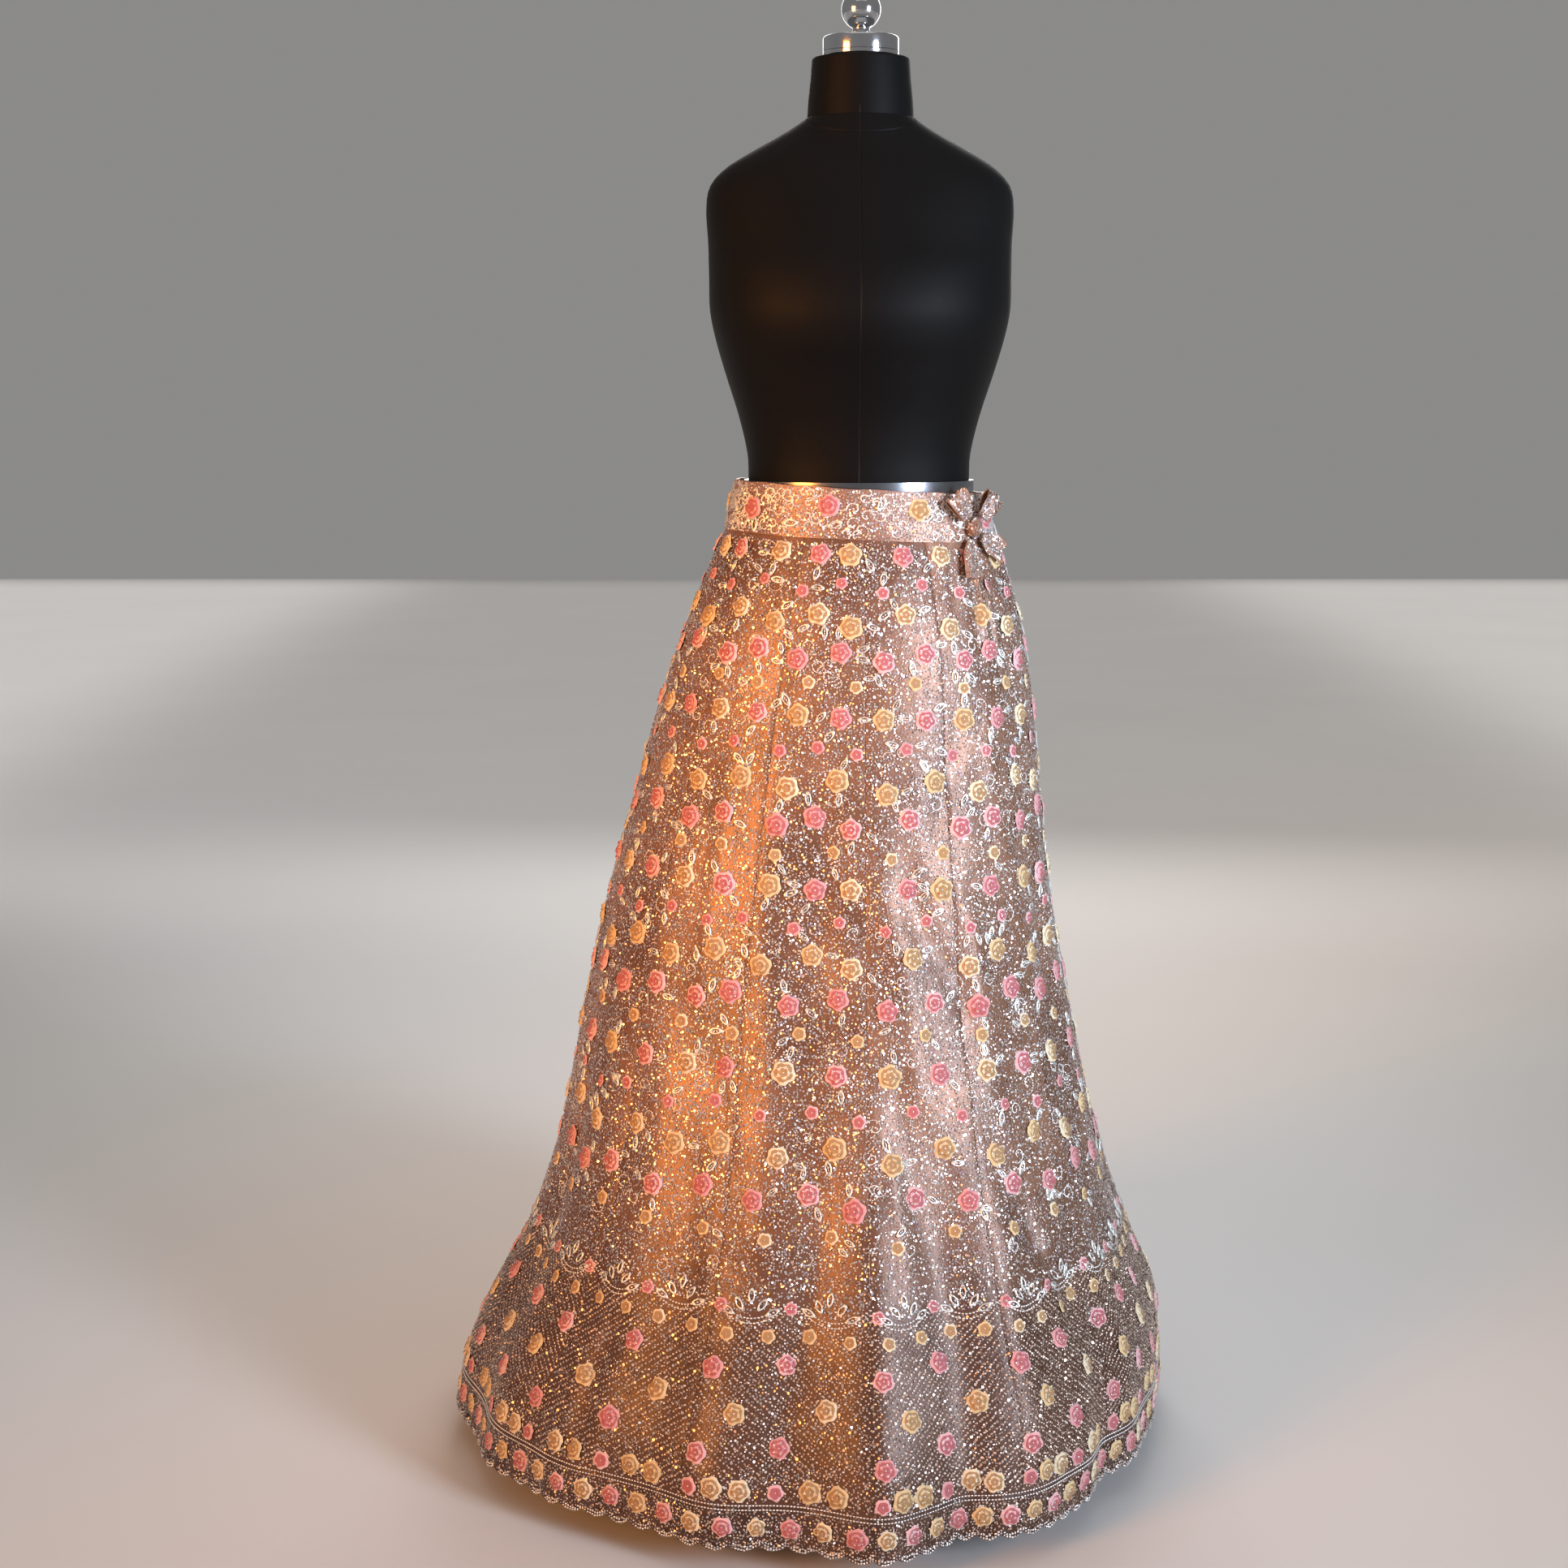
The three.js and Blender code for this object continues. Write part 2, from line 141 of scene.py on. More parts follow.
def across_panel(angle):
    """How many panels round from the first seam an angle lies: the fraction is the place on its panel."""
    return ((angle - FIRST_SEAM) % 360) / STEP


def drape(angle, share):
    """How far the hung cloth stands out from the plain section: worked out in mm, given in metres."""
    depth = -SET_BACK * smooth(1 - share / 0.6)
    for middle, out, width, reach in FOLDS:
        away = turn_between(angle, middle) / width
        depth = depth + out * np.exp(-away * away) * smooth(1 - share / reach)
    for angle_0, share_0, angle_1, share_1, out, width, bow in CREASES:
        k = (share - share_0) / (share_1 - share_0)
        path = angle_0 + (angle_1 - angle_0) * k + bow * np.sin(FULL_TURN * np.clip(k, 0, 1))
        away = turn_between(angle, path) / width
        ends = smooth((k + 0.12) / 0.4) * smooth((1.12 - k) / 0.4)
        depth = depth + out * np.exp(-away * away) * ends
    wave = sine(angle * 11 + 40 * np.sin(share * 5)) * 0.9
    wave = wave + sine(angle * 23 + 130 + 300 * share) * 0.5
    wave = wave + sine(angle * 5 - 620 * share) * 0.9
    wave = wave + sine(angle * 19 + 2100 * share) * sine(angle * 8 - 1500 * share) * 0.9
    depth = depth + wave * (0.25 + smooth(1 - share / 0.9)) * smooth((1.0 - share) / 0.05)
    return depth * MM


def oval(half, angle, out):
    """Plan of an oval wall with half-widths (left, right, front, back), moved out."""
    s, c = np.sin(np.radians(angle)), np.cos(np.radians(angle))
    wide = np.where(s >= 0, half[1], half[0])
    deep = np.where(c >= 0, half[2], half[3])
    nx, ny = s / wide, -c / deep
    size = np.hypot(nx, ny)
    return wide * s + nx / size * out, -deep * c + ny / size * out


def skirt_at(angle, share, out=0.0, lift=0.0):
    """The skirt's outer face at an angle and a share of its height, moved out and up in metres."""
    angle, share, out, lift = np.broadcast_arrays(angle, share, out, lift)
    half = [along_table(SECTIONS[0], SECTIONS[n] * MM, share) for n in (1, 2, 3, 4)]
    x, y = oval(half, angle, drape(angle, share) + out)
    z = HEM_HEIGHT + share * (SEAM_HEIGHT + SEAM_TILT * x - HEM_HEIGHT) + lift
    return np.stack([x, y, z], -1)


def band_at(angle, rise, out=0.0):
    """The waistband's outer face at an angle and a share of its depth."""
    angle, rise, out = np.broadcast_arrays(angle, rise, out)
    half = [low * (1 - rise) + high * rise for low, high in zip(BAND_LOW, BAND_HIGH)]
    near = np.exp(-(turn_between(angle, OPENING) / 17) ** 2)
    ripple = sine(angle * 37 + 90 * rise) * 0.0007 * near
    ripple = ripple + sine(angle * 9 + 200 * rise) * 0.0004
    x, y = oval(half, angle, out + ripple)
    low = SEAM_HEIGHT + SEAM_TILT * x + 2 * HALF_GAP
    high = BAND_TOP + BAND_TOP_TILT * x + sine(angle * 13) * 0.0005
    return np.stack([x, y, low + rise * (high - low)], -1)


def unit(v):
    return v / np.maximum(np.linalg.norm(v, axis=-1, keepdims=True), 1e-12)


def axes_on(surface, first, second, out):
    """Points on a surface with the directions across it, up it and out of it."""
    here = surface(first, second, out)
    across = unit(surface(first + 0.05, second, out) - here)
    up = surface(first, second + 0.0005, out) - here
    away = unit(np.cross(across, up))
    return here, across, np.cross(away, across), away


def around(share, count, phase):
    """Angles that divide a level of the skirt evenly by length."""
    angle = np.arange(0, 360.5, 0.5)
    line = skirt_at(angle, share)
    run = np.concatenate([[0], np.cumsum(np.linalg.norm(np.diff(line, axis=0), axis=1))])
    wanted = (np.arange(count) + phase) / count * run[-1]
    return np.interp(wanted, run, angle)


def girth(share):
    line = skirt_at(np.arange(0, 361, 1.0), share)
    return float(np.linalg.norm(np.diff(line, axis=0), axis=1).sum())


LEVELS = np.linspace(0, 1, 21)
GIRTHS = np.array([girth(level) for level in LEVELS])


def girth_at(share):
    """The girth read off the table, for many places at once."""
    return np.interp(share, LEVELS, GIRTHS)


# --- finishes ---


def maths(operation, swapped=False):
    """A Math node as a method: swapped where the plain number comes first."""

    def method(self, *others):
        values = (*others, self) if swapped else (self, *others)
        return self.finish.add("ShaderNodeMath", {"operation": operation}, dict(enumerate(values)))

    return method


class Wire:
    """A shader value that Python's arithmetic works on."""

    def __init__(self, finish, socket):
        self.finish, self.socket = finish, socket

    __add__ = __radd__ = maths("ADD")
    __mul__ = __rmul__ = maths("MULTIPLY")
    __sub__, __rsub__ = maths("SUBTRACT"), maths("SUBTRACT", swapped=True)
    __truediv__, __abs__ = maths("DIVIDE"), maths("ABSOLUTE")
    __lt__, __gt__ = maths("LESS_THAN"), maths("GREATER_THAN")
    at_least, at_most = maths("MAXIMUM"), maths("MINIMUM")

    def clamped(self):
        return self.at_least(0.0).at_most(1.0)


class Finish:
    """A procedural material, built one node at a time."""

    def __init__(self, name, **constants):
        self.material = bpy.data.materials.new(name)
        self.material.use_nodes = True
        self.nodes, self.links = self.material.node_tree.nodes, self.material.node_tree.links
        self.shader = next(n for n in self.nodes if n.type == "BSDF_PRINCIPLED")
        self.set(self.shader, {k.replace("_", " "): v for k, v in constants.items()})

    def set(self, node, values):
        for key, value in values.items():
            socket = node.inputs[key]
            if isinstance(value, Wire):
                self.links.new(value.socket, socket)
            elif isinstance(value, tuple) and len(value) == 3 and socket.type == "RGBA":
                socket.default_value = (*value, 1)
            else:
                socket.default_value = value

    def add(self, kind, settings=None, values=None, output=0):
        node = self.nodes.new(kind)
        for key, value in (settings or {}).items():
            if key == "stops":
                for stop, (place, level) in zip(node.color_ramp.elements, value):
                    stop.position, stop.color = place, (level, level, level, 1)
            else:
                setattr(node, key, value)
        self.set(node, values or {})
        return Wire(self, node.outputs[output])

    def place(self, uv=None):
        if uv:
            return self.add("ShaderNodeUVMap", {"uv_map": uv})
        return self.add("ShaderNodeTexCoord", output="Object")

    def parts(self, vector):
        split = self.add("ShaderNodeSeparateXYZ", values={0: vector})
        return [Wire(self, o) for o in split.socket.node.outputs]

    def noise(self, where, scale, detail=2.0):
        return self.add("ShaderNodeTexNoise", None, {"Vector": where, "Scale": scale, "Detail": detail})

    def cells(self, where, scale, output="Distance"):
        return self.add("ShaderNodeTexVoronoi", None, {"Vector": where, "Scale": scale}, output)

    def blend(self, amount, one, other):
        return self.add("ShaderNodeMix", {"data_type": "RGBA"}, {0: amount, 6: one, 7: other}, 2)

    def vector(self, operation, *values):
        return self.add("ShaderNodeVectorMath", {"operation": operation}, dict(enumerate(values)))

    def bump(self, height, strength, distance=0.001, normal=None):
        values = {"Height": height, "Strength": strength, "Distance": distance}
        if normal:
            values["Normal"] = normal
        return self.add("ShaderNodeBump", None, values)

    def wear(self, **values):
        self.set(self.shader, {k.replace("_", " "): v for k, v in values.items()})
        return self.material


def shade(r, g, b):
    """A colour given as it looks, from 0 to 255."""
    return tuple((v / 255) ** 2.2 for v in (r, g, b))


SPANGLES_A_METRE, THREADS_A_METRE, NET_HOLES_A_METRE = 400.0, 900.0, 700.0


def glittered_cloth(name, light, dark, spangle, amount, foot=None):
    """Satin under net, with fine spangles sewn all over it, and darker below a foot's height: partly the
    deeper cloth under dense beads, partly painted shade of the light falling off towards the hem.
    """
    f = Finish(name, Sheen_Weight=0.15, Sheen_Roughness=0.4, Specular_IOR_Level=0.6)
    uv = f.place("cloth")
    tone = f.add("ShaderNodeValToRGB", {"stops": [(0.35, 0), (0.65, 1)]}, {0: f.noise(uv, 9.0, 3.0)})
    colour = f.blend(tone, dark, light)
    thread = f.noise(uv, THREADS_A_METRE, 1.0)
    colour = f.blend(thread * 0.35, colour, dark)
    disc = (f.cells(uv, SPANGLES_A_METRE) < 0.3) * (f.noise(uv, 46.0) > 0.5 - amount)
    turn = f.cells(uv, SPANGLES_A_METRE, "Color")
    bright = f.blend(f.parts(turn)[0], dark, spangle)
    if foot:
        # below the foot the cloth blends towards dark brown: partly its deeper colour under dense beads,
        # partly painted shade where the light falls off towards the hem
        below = ((foot - f.parts(f.place())[2]) / 0.12).clamped()
        colour = f.blend(below * 0.78, colour, shade(72, 48, 37))
    colour = f.blend(disc * 0.85, colour, bright)
    crumple = f.bump(f.noise(uv, 24.0), 0.35, 0.006)
    net = f.cells(uv, NET_HOLES_A_METRE)
    raised = f.bump(net * 0.35 + disc + thread * 0.4, 0.5, 0.0006, crumple)
    tilt = f.vector("MULTIPLY", f.vector("SUBTRACT", turn, (0.5, 0.5, 0.5)), (0.9, 0.9, 0.9))
    where_sewn = f.add("ShaderNodeCombineXYZ", None, {0: disc, 1: disc, 2: disc})
    tilted = f.vector("ADD", raised, f.vector("MULTIPLY", tilt, where_sewn))
    return f.wear(
        Base_Color=colour,
        Roughness=0.36 - disc * 0.14 + thread * 0.08,
        Metallic=0.2 + disc * 0.55,
        Normal=f.vector("NORMALIZE", tilted),
    )


def spangle_finish(name, colour, rough, metal=0.85):
    """Stamped foil: a little uneven in polish from one to the next."""
    f = Finish(name, Base_Color=colour, Metallic=metal, Specular_IOR_Level=0.6)
    uneven = f.noise(f.place(), 420.0, 1.0)
    return f.wear(Roughness=rough + uneven * 0.16, Normal=f.bump(uneven, 0.25, 0.0006))


def thread_finish(name, colour, rough=0.5):
    """Silk thread or ribbon, with its strands showing."""
    f = Finish(name, Base_Color=colour, Sheen_Weight=0.25, Sheen_Roughness=0.35, Specular_IOR_Level=0.4)
    strand = f.noise(f.place(), 1100.0)
    return f.wear(Roughness=rough + strand * 0.2, Normal=f.bump(strand, 0.9, 0.0008))


def jersey_finish():
    """Black stretch jersey pulled over the form, with its seams."""
    f = Finish("jersey_black", Sheen_Weight=0.015, Sheen_Roughness=0.5, Specular_IOR_Level=0.12)
    where = f.place()
    x, y, z = f.parts(where)
    rib = f.noise(f.vector("MULTIPLY", where, (1, 1, 0.35)), 1500.0, 1.0)
    cloudy = f.noise(where, 14.0)
    middle = 1 - (abs(x + 0.002) / 0.0011).clamped()
    collar = 1 - (abs(z - y * 0.45 - 1.441) / 0.0013).clamped()
    seam = (middle * (z < 1.44) + collar * (z > 1.40)).clamped()
    colour = f.blend(cloudy, shade(9, 9, 10), shade(16, 16, 17))
    return f.wear(
        Base_Color=f.blend(seam * 0.8, colour, shade(4, 4, 5)),
        Roughness=0.46 + rib * 0.14 + cloudy * 0.1,
        Normal=f.bump(rib * 0.3 - seam * 2.0, 0.5, 0.0007),
    )


def chrome_finish(name, light, dark, rough=0.06):
    """Polished metal with faint smears and the lines left by turning it."""
    f = Finish(name, Metallic=1.0)
    where = f.place()
    smear = f.noise(where, 30.0, 3.0)
    polish = f.noise(f.vector("MULTIPLY", where, (1, 1, 30)), 60.0)
    return f.wear(
        Base_Color=f.blend(smear, light, dark),
        Roughness=rough + smear * 0.09,
        Normal=f.bump(polish, 0.05, 0.0002),
    )


def stand_finish():
    """Black paint with a fine orange peel and a little dust."""
    f = Finish("stand_black", Coat_Roughness=0.2)
    where = f.place()
    orange_peel = f.noise(where, 520.0)
    dust = f.noise(where, 22.0, 4.0)
    return f.wear(
        Base_Color=f.blend(dust, shade(24, 24, 26), shade(42, 42, 44)),
        Roughness=0.32 + dust * 0.2,
        Coat_Weight=0.25 + dust * 0.1,
        Normal=f.bump(orange_peel, 0.12, 0.0004),
    )


def floor_finish():
    f = Finish("pale_floor", Specular_IOR_Level=0.3)
    cloudy = f.noise(f.place(), 1.5, 3.0)
    return f.wear(
        Base_Color=f.blend(cloudy, shade(224, 221, 218), shade(217, 214, 211)),
        Roughness=0.72 + cloudy * 0.1,
    )


SATIN = glittered_cloth(
    "satin_under_net", shade(155, 112, 87), shade(107, 73, 55), shade(250, 244, 240), 0.03, foot=0.34
)
BORDER = glittered_cloth(
    "beaded_border_net", shade(92, 64, 52), shade(62, 43, 35), shade(224, 206, 190), 0.04
)
BAND = glittered_cloth(
    "sequinned_band", shade(172, 131, 109), shade(126, 90, 73), shade(255, 250, 245), 0.12
)
LINING = thread_finish("lining_satin", shade(172, 134, 124), 0.38)
SILVER = spangle_finish("silver_sequin", shade(240, 236, 234), 0.2)
SHELL = spangle_finish("shell_sequin", shade(222, 206, 226), 0.18, 0.7)
CHAMPAGNE = spangle_finish("champagne_sequin", shade(214, 188, 176), 0.22, 0.75)
BEAD = spangle_finish("silver_bead", shade(232, 228, 226), 0.24, 0.7)
ROW_BEAD = spangle_finish("border_row_bead", shade(214, 194, 180), 0.25, 0.7)
LEAF = spangle_finish("leaf_cord_silver", shade(230, 230, 224), 0.3, 0.4)
# the rose hearts' colours go on the sunken rings and the middle: a deeper thread colour, darkened further as
# painted shade in the rose's hollows
PINK = thread_finish("rose_pink", shade(224, 162, 163))
PINK_PALE = thread_finish("rose_pink_pale", shade(236, 186, 188))
PINK_SHADED_HOLLOW = thread_finish("rose_pink_shaded_hollow", shade(186, 104, 108))
GOLD = thread_finish("rose_gold", shade(230, 200, 152))
GOLD_PALE = thread_finish("rose_gold_pale", shade(238, 220, 186))
GOLD_SHADED_HOLLOW = thread_finish("rose_gold_shaded_hollow", shade(176, 138, 96))
WORK_FINISHES = [
    SILVER, SHELL, CHAMPAGNE, BEAD, LEAF,
    PINK, PINK_PALE, PINK_SHADED_HOLLOW, GOLD, GOLD_PALE, GOLD_SHADED_HOLLOW, ROW_BEAD,
]
JERSEY, STAND = jersey_finish(), stand_finish()
CHROME = chrome_finish("bright_chrome", shade(212, 212, 215), shade(172, 173, 178))
SMOKED = chrome_finish("smoked_chrome", shade(150, 153, 160), shade(104, 106, 112), 0.17)


# --- modelling tools ---


def start_clean():
    if bpy.context.object and bpy.context.object.mode != "OBJECT":
        bpy.ops.object.mode_set(mode="OBJECT")
    bpy.ops.object.select_all(action="DESELECT")


def edit(select=True):
    bpy.ops.object.mode_set(mode="EDIT")
    if select:
        bpy.ops.mesh.select_all(action="SELECT")


def close_up(angle=None):
    """Turns all faces outwards, leaves edit mode and smooths edges flatter than an angle."""
    bpy.ops.mesh.select_all(action="SELECT")
    bpy.ops.mesh.normals_make_consistent(inside=False)
    bpy.ops.object.mode_set(mode="OBJECT")
    if angle:
        smooth_below(angle)


def smooth_below(angle):
    bpy.ops.object.shade_smooth_by_angle(angle=math.radians(angle))


def named(name, *materials):
    """Names the active object and its mesh and gives it its finishes."""
    piece = bpy.context.object
    piece.name = piece.data.name = name
    for material in materials:
        piece.data.materials.append(material)
    return piece


def pick(test, kind="verts"):
    """Selects the vertices, edges or faces of the edited mesh that pass a test."""
    mesh = bmesh.from_edit_mesh(bpy.context.object.data)
    bpy.ops.mesh.select_all(action="DESELECT")
    items = getattr(mesh, kind)
    items.index_update()
    for item in items:
        item.select_set(test(item))
    mesh.select_flush_mode()
    bmesh.update_edit_mesh(bpy.context.object.data)


def wall(name, columns, rows, place, materials, thickness=CLOTH):
    """A sheet of cloth from a grid whose points go where place(across, up) says."""
    start_clean()
    bpy.ops.mesh.primitive_grid_add(x_subdivisions=columns, y_subdivisions=rows, size=1)
    piece = named(name, *materials)
    mesh = piece.data
    flat = np.empty(len(mesh.vertices) * 3)
    mesh.vertices.foreach_get("co", flat)
    across, up, _ = flat.reshape(-1, 3).T + 0.5
    points = place(across, up)
    mesh.vertices.foreach_set("co", points.ravel())
    grid = points.reshape(rows + 1, columns + 1, 3)
    run_across = np.linalg.norm(np.diff(grid, axis=1), axis=2)
    run_up = np.linalg.norm(np.diff(grid, axis=0), axis=2)
    u = np.concatenate([np.zeros((rows + 1, 1)), np.cumsum(run_across, axis=1)], axis=1)
    u -= u.mean(axis=1, keepdims=True)
    v = np.concatenate([np.zeros((1, columns + 1)), np.cumsum(run_up, axis=0)], axis=0)
    corner = np.empty(len(mesh.loops), dtype=np.int32)
    mesh.loops.foreach_get("vertex_index", corner)
    layer = mesh.uv_layers.active or mesh.uv_layers.new()
    layer.name = "cloth"
    from_another_bolt = chance.uniform(0, 3)
    uv = np.stack([u.ravel()[corner] + from_another_bolt, v.ravel()[corner]], -1)
    layer.data.foreach_set("uv", uv.ravel())
    mesh.update()
    width, length = float(run_across.sum(axis=1).max()), float(run_up.sum(axis=0).max())
    area = sum(face.area for face in mesh.polygons)
    shell = piece.modifiers.new("thickness", "SOLIDIFY")
    shell.thickness, shell.offset = thickness, -1
    shell.use_even_offset = False
    if len(materials) > 1:
        shell.material_offset = 1
    bpy.ops.object.modifier_apply(modifier=shell.name)
    smooth_below(50)
    return piece, (round(width, 4), round(length, 4)), area


def hang(piece, slot, *nodes):
    """Hangs a piece on the root body and hides the solids it stands for. The slot is not used."""
    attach(piece, "root")
    if nodes:
        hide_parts(*nodes)


# --- small things that are sewn on: each is modelled once, one unit in radius ---


def take_motif(*materials):
    """Turns the active mesh into arrays for stamping and removes the object."""
    piece = bpy.context.object
    if piece.mode == "EDIT":
        bpy.ops.object.mode_set(mode="OBJECT")
    mesh = piece.data
    slots = [WORK_FINISHES.index(material) for material in materials]
    motif = {
        "points": np.array([v.co[:] for v in mesh.vertices]),
        "corners": np.concatenate([np.array(face.vertices[:]) for face in mesh.polygons]),
        "sides": [len(face.vertices) for face in mesh.polygons],
        "slots": np.array([slots[face.material_index] for face in mesh.polygons]),
    }
    bpy.data.objects.remove(piece)
    bpy.data.meshes.remove(mesh)
    return motif


def scale_by(x, y, z, centre=(0, 0, 0)):
    bpy.ops.transform.resize(value=(x, y, z), center_override=centre)


def turn_by(degrees):
    bpy.ops.transform.rotate(value=math.radians(degrees), orient_axis="Z", center_override=(0, 0, 0))


def ring_step(size, rise, turn=0.0):
    """Extrudes the selected rim, then scales, lifts and turns it about the middle."""
    bpy.ops.mesh.extrude_region_move()
    scale_by(size, size, 1)
    bpy.ops.transform.translate(value=(0, 0, rise))
    if turn:
        turn_by(turn)


def open_ring(points):
    """Starts a motif as a ring of points, in edit mode."""
    start_clean()
    bpy.ops.mesh.primitive_circle_add(vertices=points, radius=1, fill_type="NOTHING")
    edit(select=False)


PETALS, LEAF_POINTS = 5, 10


def rose_motif(rings, petal, heart):
    """A flat rose of looped ribbon: five round petals about a hollow, then a bud, each ring turned. The
    sunken rings and the middle take the heart finish, a deeper thread colour darkened further as painted
    shade in the hollows.
    """
    ring = 3 * PETALS
    open_ring(ring)
    for size, rise, turn in rings:
        ring_step(size, rise, turn)
    bpy.ops.mesh.edge_face_add()
    pick(lambda v: v.index % 3 == 0 and v.index < 2 * ring)
    scale_by(0.85, 0.85, 0.3)
    pick(lambda v: v.index % 3 == 1 and v.index > 2 * ring)
    scale_by(0.82, 0.82, 0.7)
    return finish_motif(petal, heart, lambda face: len(face.vertices) == 4 and face.index // ring in (0, 2))


def leaf_motif(rim, rib):
    """A leaf outlined in cord, open in the middle."""
    open_ring(LEAF_POINTS)
    scale_by(1, 0.46, 1)
    pick(lambda v: abs(v.co.x) < 0.9)
    scale_by(0.84, 1, 1)
    bpy.ops.mesh.select_all(action="SELECT")
    ring_step(0.8, 0.2)
    ring_step(0.76, -0.16)
    return finish_motif(rim, rib, lambda face: face.index < LEAF_POINTS)


def finish_motif(outer, inner, is_outer):
    """Turns the faces upwards and gives each its finish by the ring it is in."""
    close_up()
    mesh = bpy.context.object.data
    if sum(face.normal.z * face.area for face in mesh.polygons) < 0:
        mesh.flip_normals()
    for face in mesh.polygons:
        face.material_index = 0 if is_outer(face) else 1
    return take_motif(outer, inner)


def disc_motif(sides, material):
    """A flat spangle with a few sides."""
    start_clean()
    bpy.ops.mesh.primitive_circle_add(vertices=sides, radius=1, fill_type="NGON")
    return take_motif(material)


def bead_motif(narrow, material):
    """A cut bead with four facets, as long as it is or narrower one way."""
    start_clean()
    bpy.ops.mesh.primitive_cone_add(vertices=4, radius1=1, depth=0.9, end_fill_type="NOTHING")
    edit()
    turn_by(45)
    scale_by(1, narrow, 1)
    bpy.ops.transform.translate(value=(0, 0, 0.45))
    return take_motif(material)


# the rings of a rose, from its rim inwards: size, rise, turn in degrees
FULL_ROSE = [(0.78, 0.5, 8), (0.66, -0.3, 6), (0.74, 0.4, 24), (0.42, -0.34, 12)]
SMALL_ROSE = [(0.7, 0.5, 10), (0.46, -0.34, 8)]
ROSES = {
    "pink": [rose_motif(FULL_ROSE, petal, PINK_SHADED_HOLLOW) for petal in (PINK, PINK_PALE)],
    "gold": [rose_motif(FULL_ROSE, petal, GOLD_SHADED_HOLLOW) for petal in (GOLD, GOLD_PALE)],
    "small pink": [rose_motif(SMALL_ROSE, petal, PINK_SHADED_HOLLOW) for petal in (PINK, PINK_PALE)],
    "small gold": [rose_motif(SMALL_ROSE, petal, GOLD_SHADED_HOLLOW) for petal in (GOLD, GOLD_PALE)],
}
ROSE_DEPTH = 0.42
CORD_LEAF = leaf_motif(LEAF, SILVER)
DISC, SHELL_DISC, SPANGLE = disc_motif(6, SILVER), disc_motif(6, SHELL), disc_motif(4, CHAMPAGNE)
CUT_BEAD, LONG_BEAD = bead_motif(0.9, BEAD), bead_motif(0.6, BEAD)
DULL_BEAD, DULL_DISC = bead_motif(0.9, ROW_BEAD), disc_motif(6, ROW_BEAD)

# what is scattered: motif, where its share of the whole ends, radius
MIXTURE = [(DISC, 0.42, 0.0011), (SPANGLE, 0.72, 0.0011), (SHELL_DISC, 0.82, 0.001), (CUT_BEAD, 1.0, 0.00105)]
DULL_MIXTURE = [(DULL_DISC, 0.45, 0.0011), (SPANGLE, 0.72, 0.001), (DULL_BEAD, 1.0, 0.00105)]


class Work:
    """Everything sewn on one panel, gathered into one mesh."""

    def __init__(self):
        self.points, self.loops, self.totals, self.slots, self.count = [], [], [], [], 0

    def stamp(self, motif, on, size, turn=0.0, tilt=0.0, depth=1.0):
        """Places copies on (point, across, up, away) at sizes, turned and tilted in radians."""
        here, across, up, away = on
        n = len(here)
        if n == 0:
            return
        size, turn = np.broadcast_to(size, n)[:, None], np.broadcast_to(turn, n)[:, None]
        a = across * np.cos(turn) + up * np.sin(turn)
        b = up * np.cos(turn) - across * np.sin(turn)
        if tilt:
            lean = chance.normal(0, tilt, (n, 2))
            a, b = unit(a + away * lean[:, :1]), unit(b + away * lean[:, 1:])
            away = unit(np.cross(a, b))
        x, y, z = motif["points"].T[:, None, :, None]
        cloud = here[:, None] + size[:, None] * (
            x * a[:, None] + y * b[:, None] + depth * z * away[:, None]
        )
        step = len(motif["points"])
        offset = self.count + np.arange(n)[:, None] * step
        self.points.append(cloud.reshape(-1, 3))
        self.loops.append((motif["corners"][None] + offset).ravel())
        self.totals.append(np.tile(motif["sides"], n))
        self.slots.append(np.tile(motif["slots"], n))
        self.count += n * step

    def make(self, name, slot):
        """Joins all that was stamped into one mesh, with only the finishes it uses."""
        start_clean()
        points, loops = np.concatenate(self.points), np.concatenate(self.loops)
        totals, slots = np.concatenate(self.totals), np.concatenate(self.slots)
        used = sorted(set(slots.tolist()))
        mesh = bpy.data.meshes.new(name)
        mesh.vertices.add(len(points))
        mesh.vertices.foreach_set("co", points.ravel())
        mesh.loops.add(len(loops))
        mesh.loops.foreach_set("vertex_index", loops.astype(np.int32))
        mesh.polygons.add(len(totals))
        starts = np.concatenate([[0], np.cumsum(totals)[:-1]])
        mesh.polygons.foreach_set("loop_start", starts.astype(np.int32))
        mesh.polygons.foreach_set("loop_total", totals.astype(np.int32))
        for index in used:
            mesh.materials.append(WORK_FINISHES[index])
        order = np.searchsorted(used, slots)
        mesh.polygons.foreach_set("material_index", order.astype(np.int32))
        mesh.update(calc_edges=True)
        piece = bpy.data.objects.new(name, mesh)
        bpy.context.collection.objects.link(piece)
        hang(piece, slot)


def scatter(put, count, mixture=MIXTURE):
    """Shares places out between the kinds of spangle and puts each kind down."""
    kind, low = chance.uniform(0, 1, count), 0.0
    for motif, high, size in mixture:
        chosen = (kind >= low) & (kind < high)
        n = chosen.sum()
        put(motif, chosen, size * chance.uniform(0.8, 1.25, n), chance.uniform(0, 3.14, n))
        low = high


def tendril(put, beads, start, side, inner, grows, sweep, bend=1.0, large=1.0):
    """Puts beads along spirals, one step of them all at a time: put(across, up, turn)."""
    for step in range(beads):
        k = step / (beads - 1)
        spiral, way = (inner + grows * k) * large, start + side * k ** bend * sweep
        put(spiral * np.cos(way), spiral * np.sin(way), way + side * QUARTER_TURN)


# --- the skirt's panels and border ---


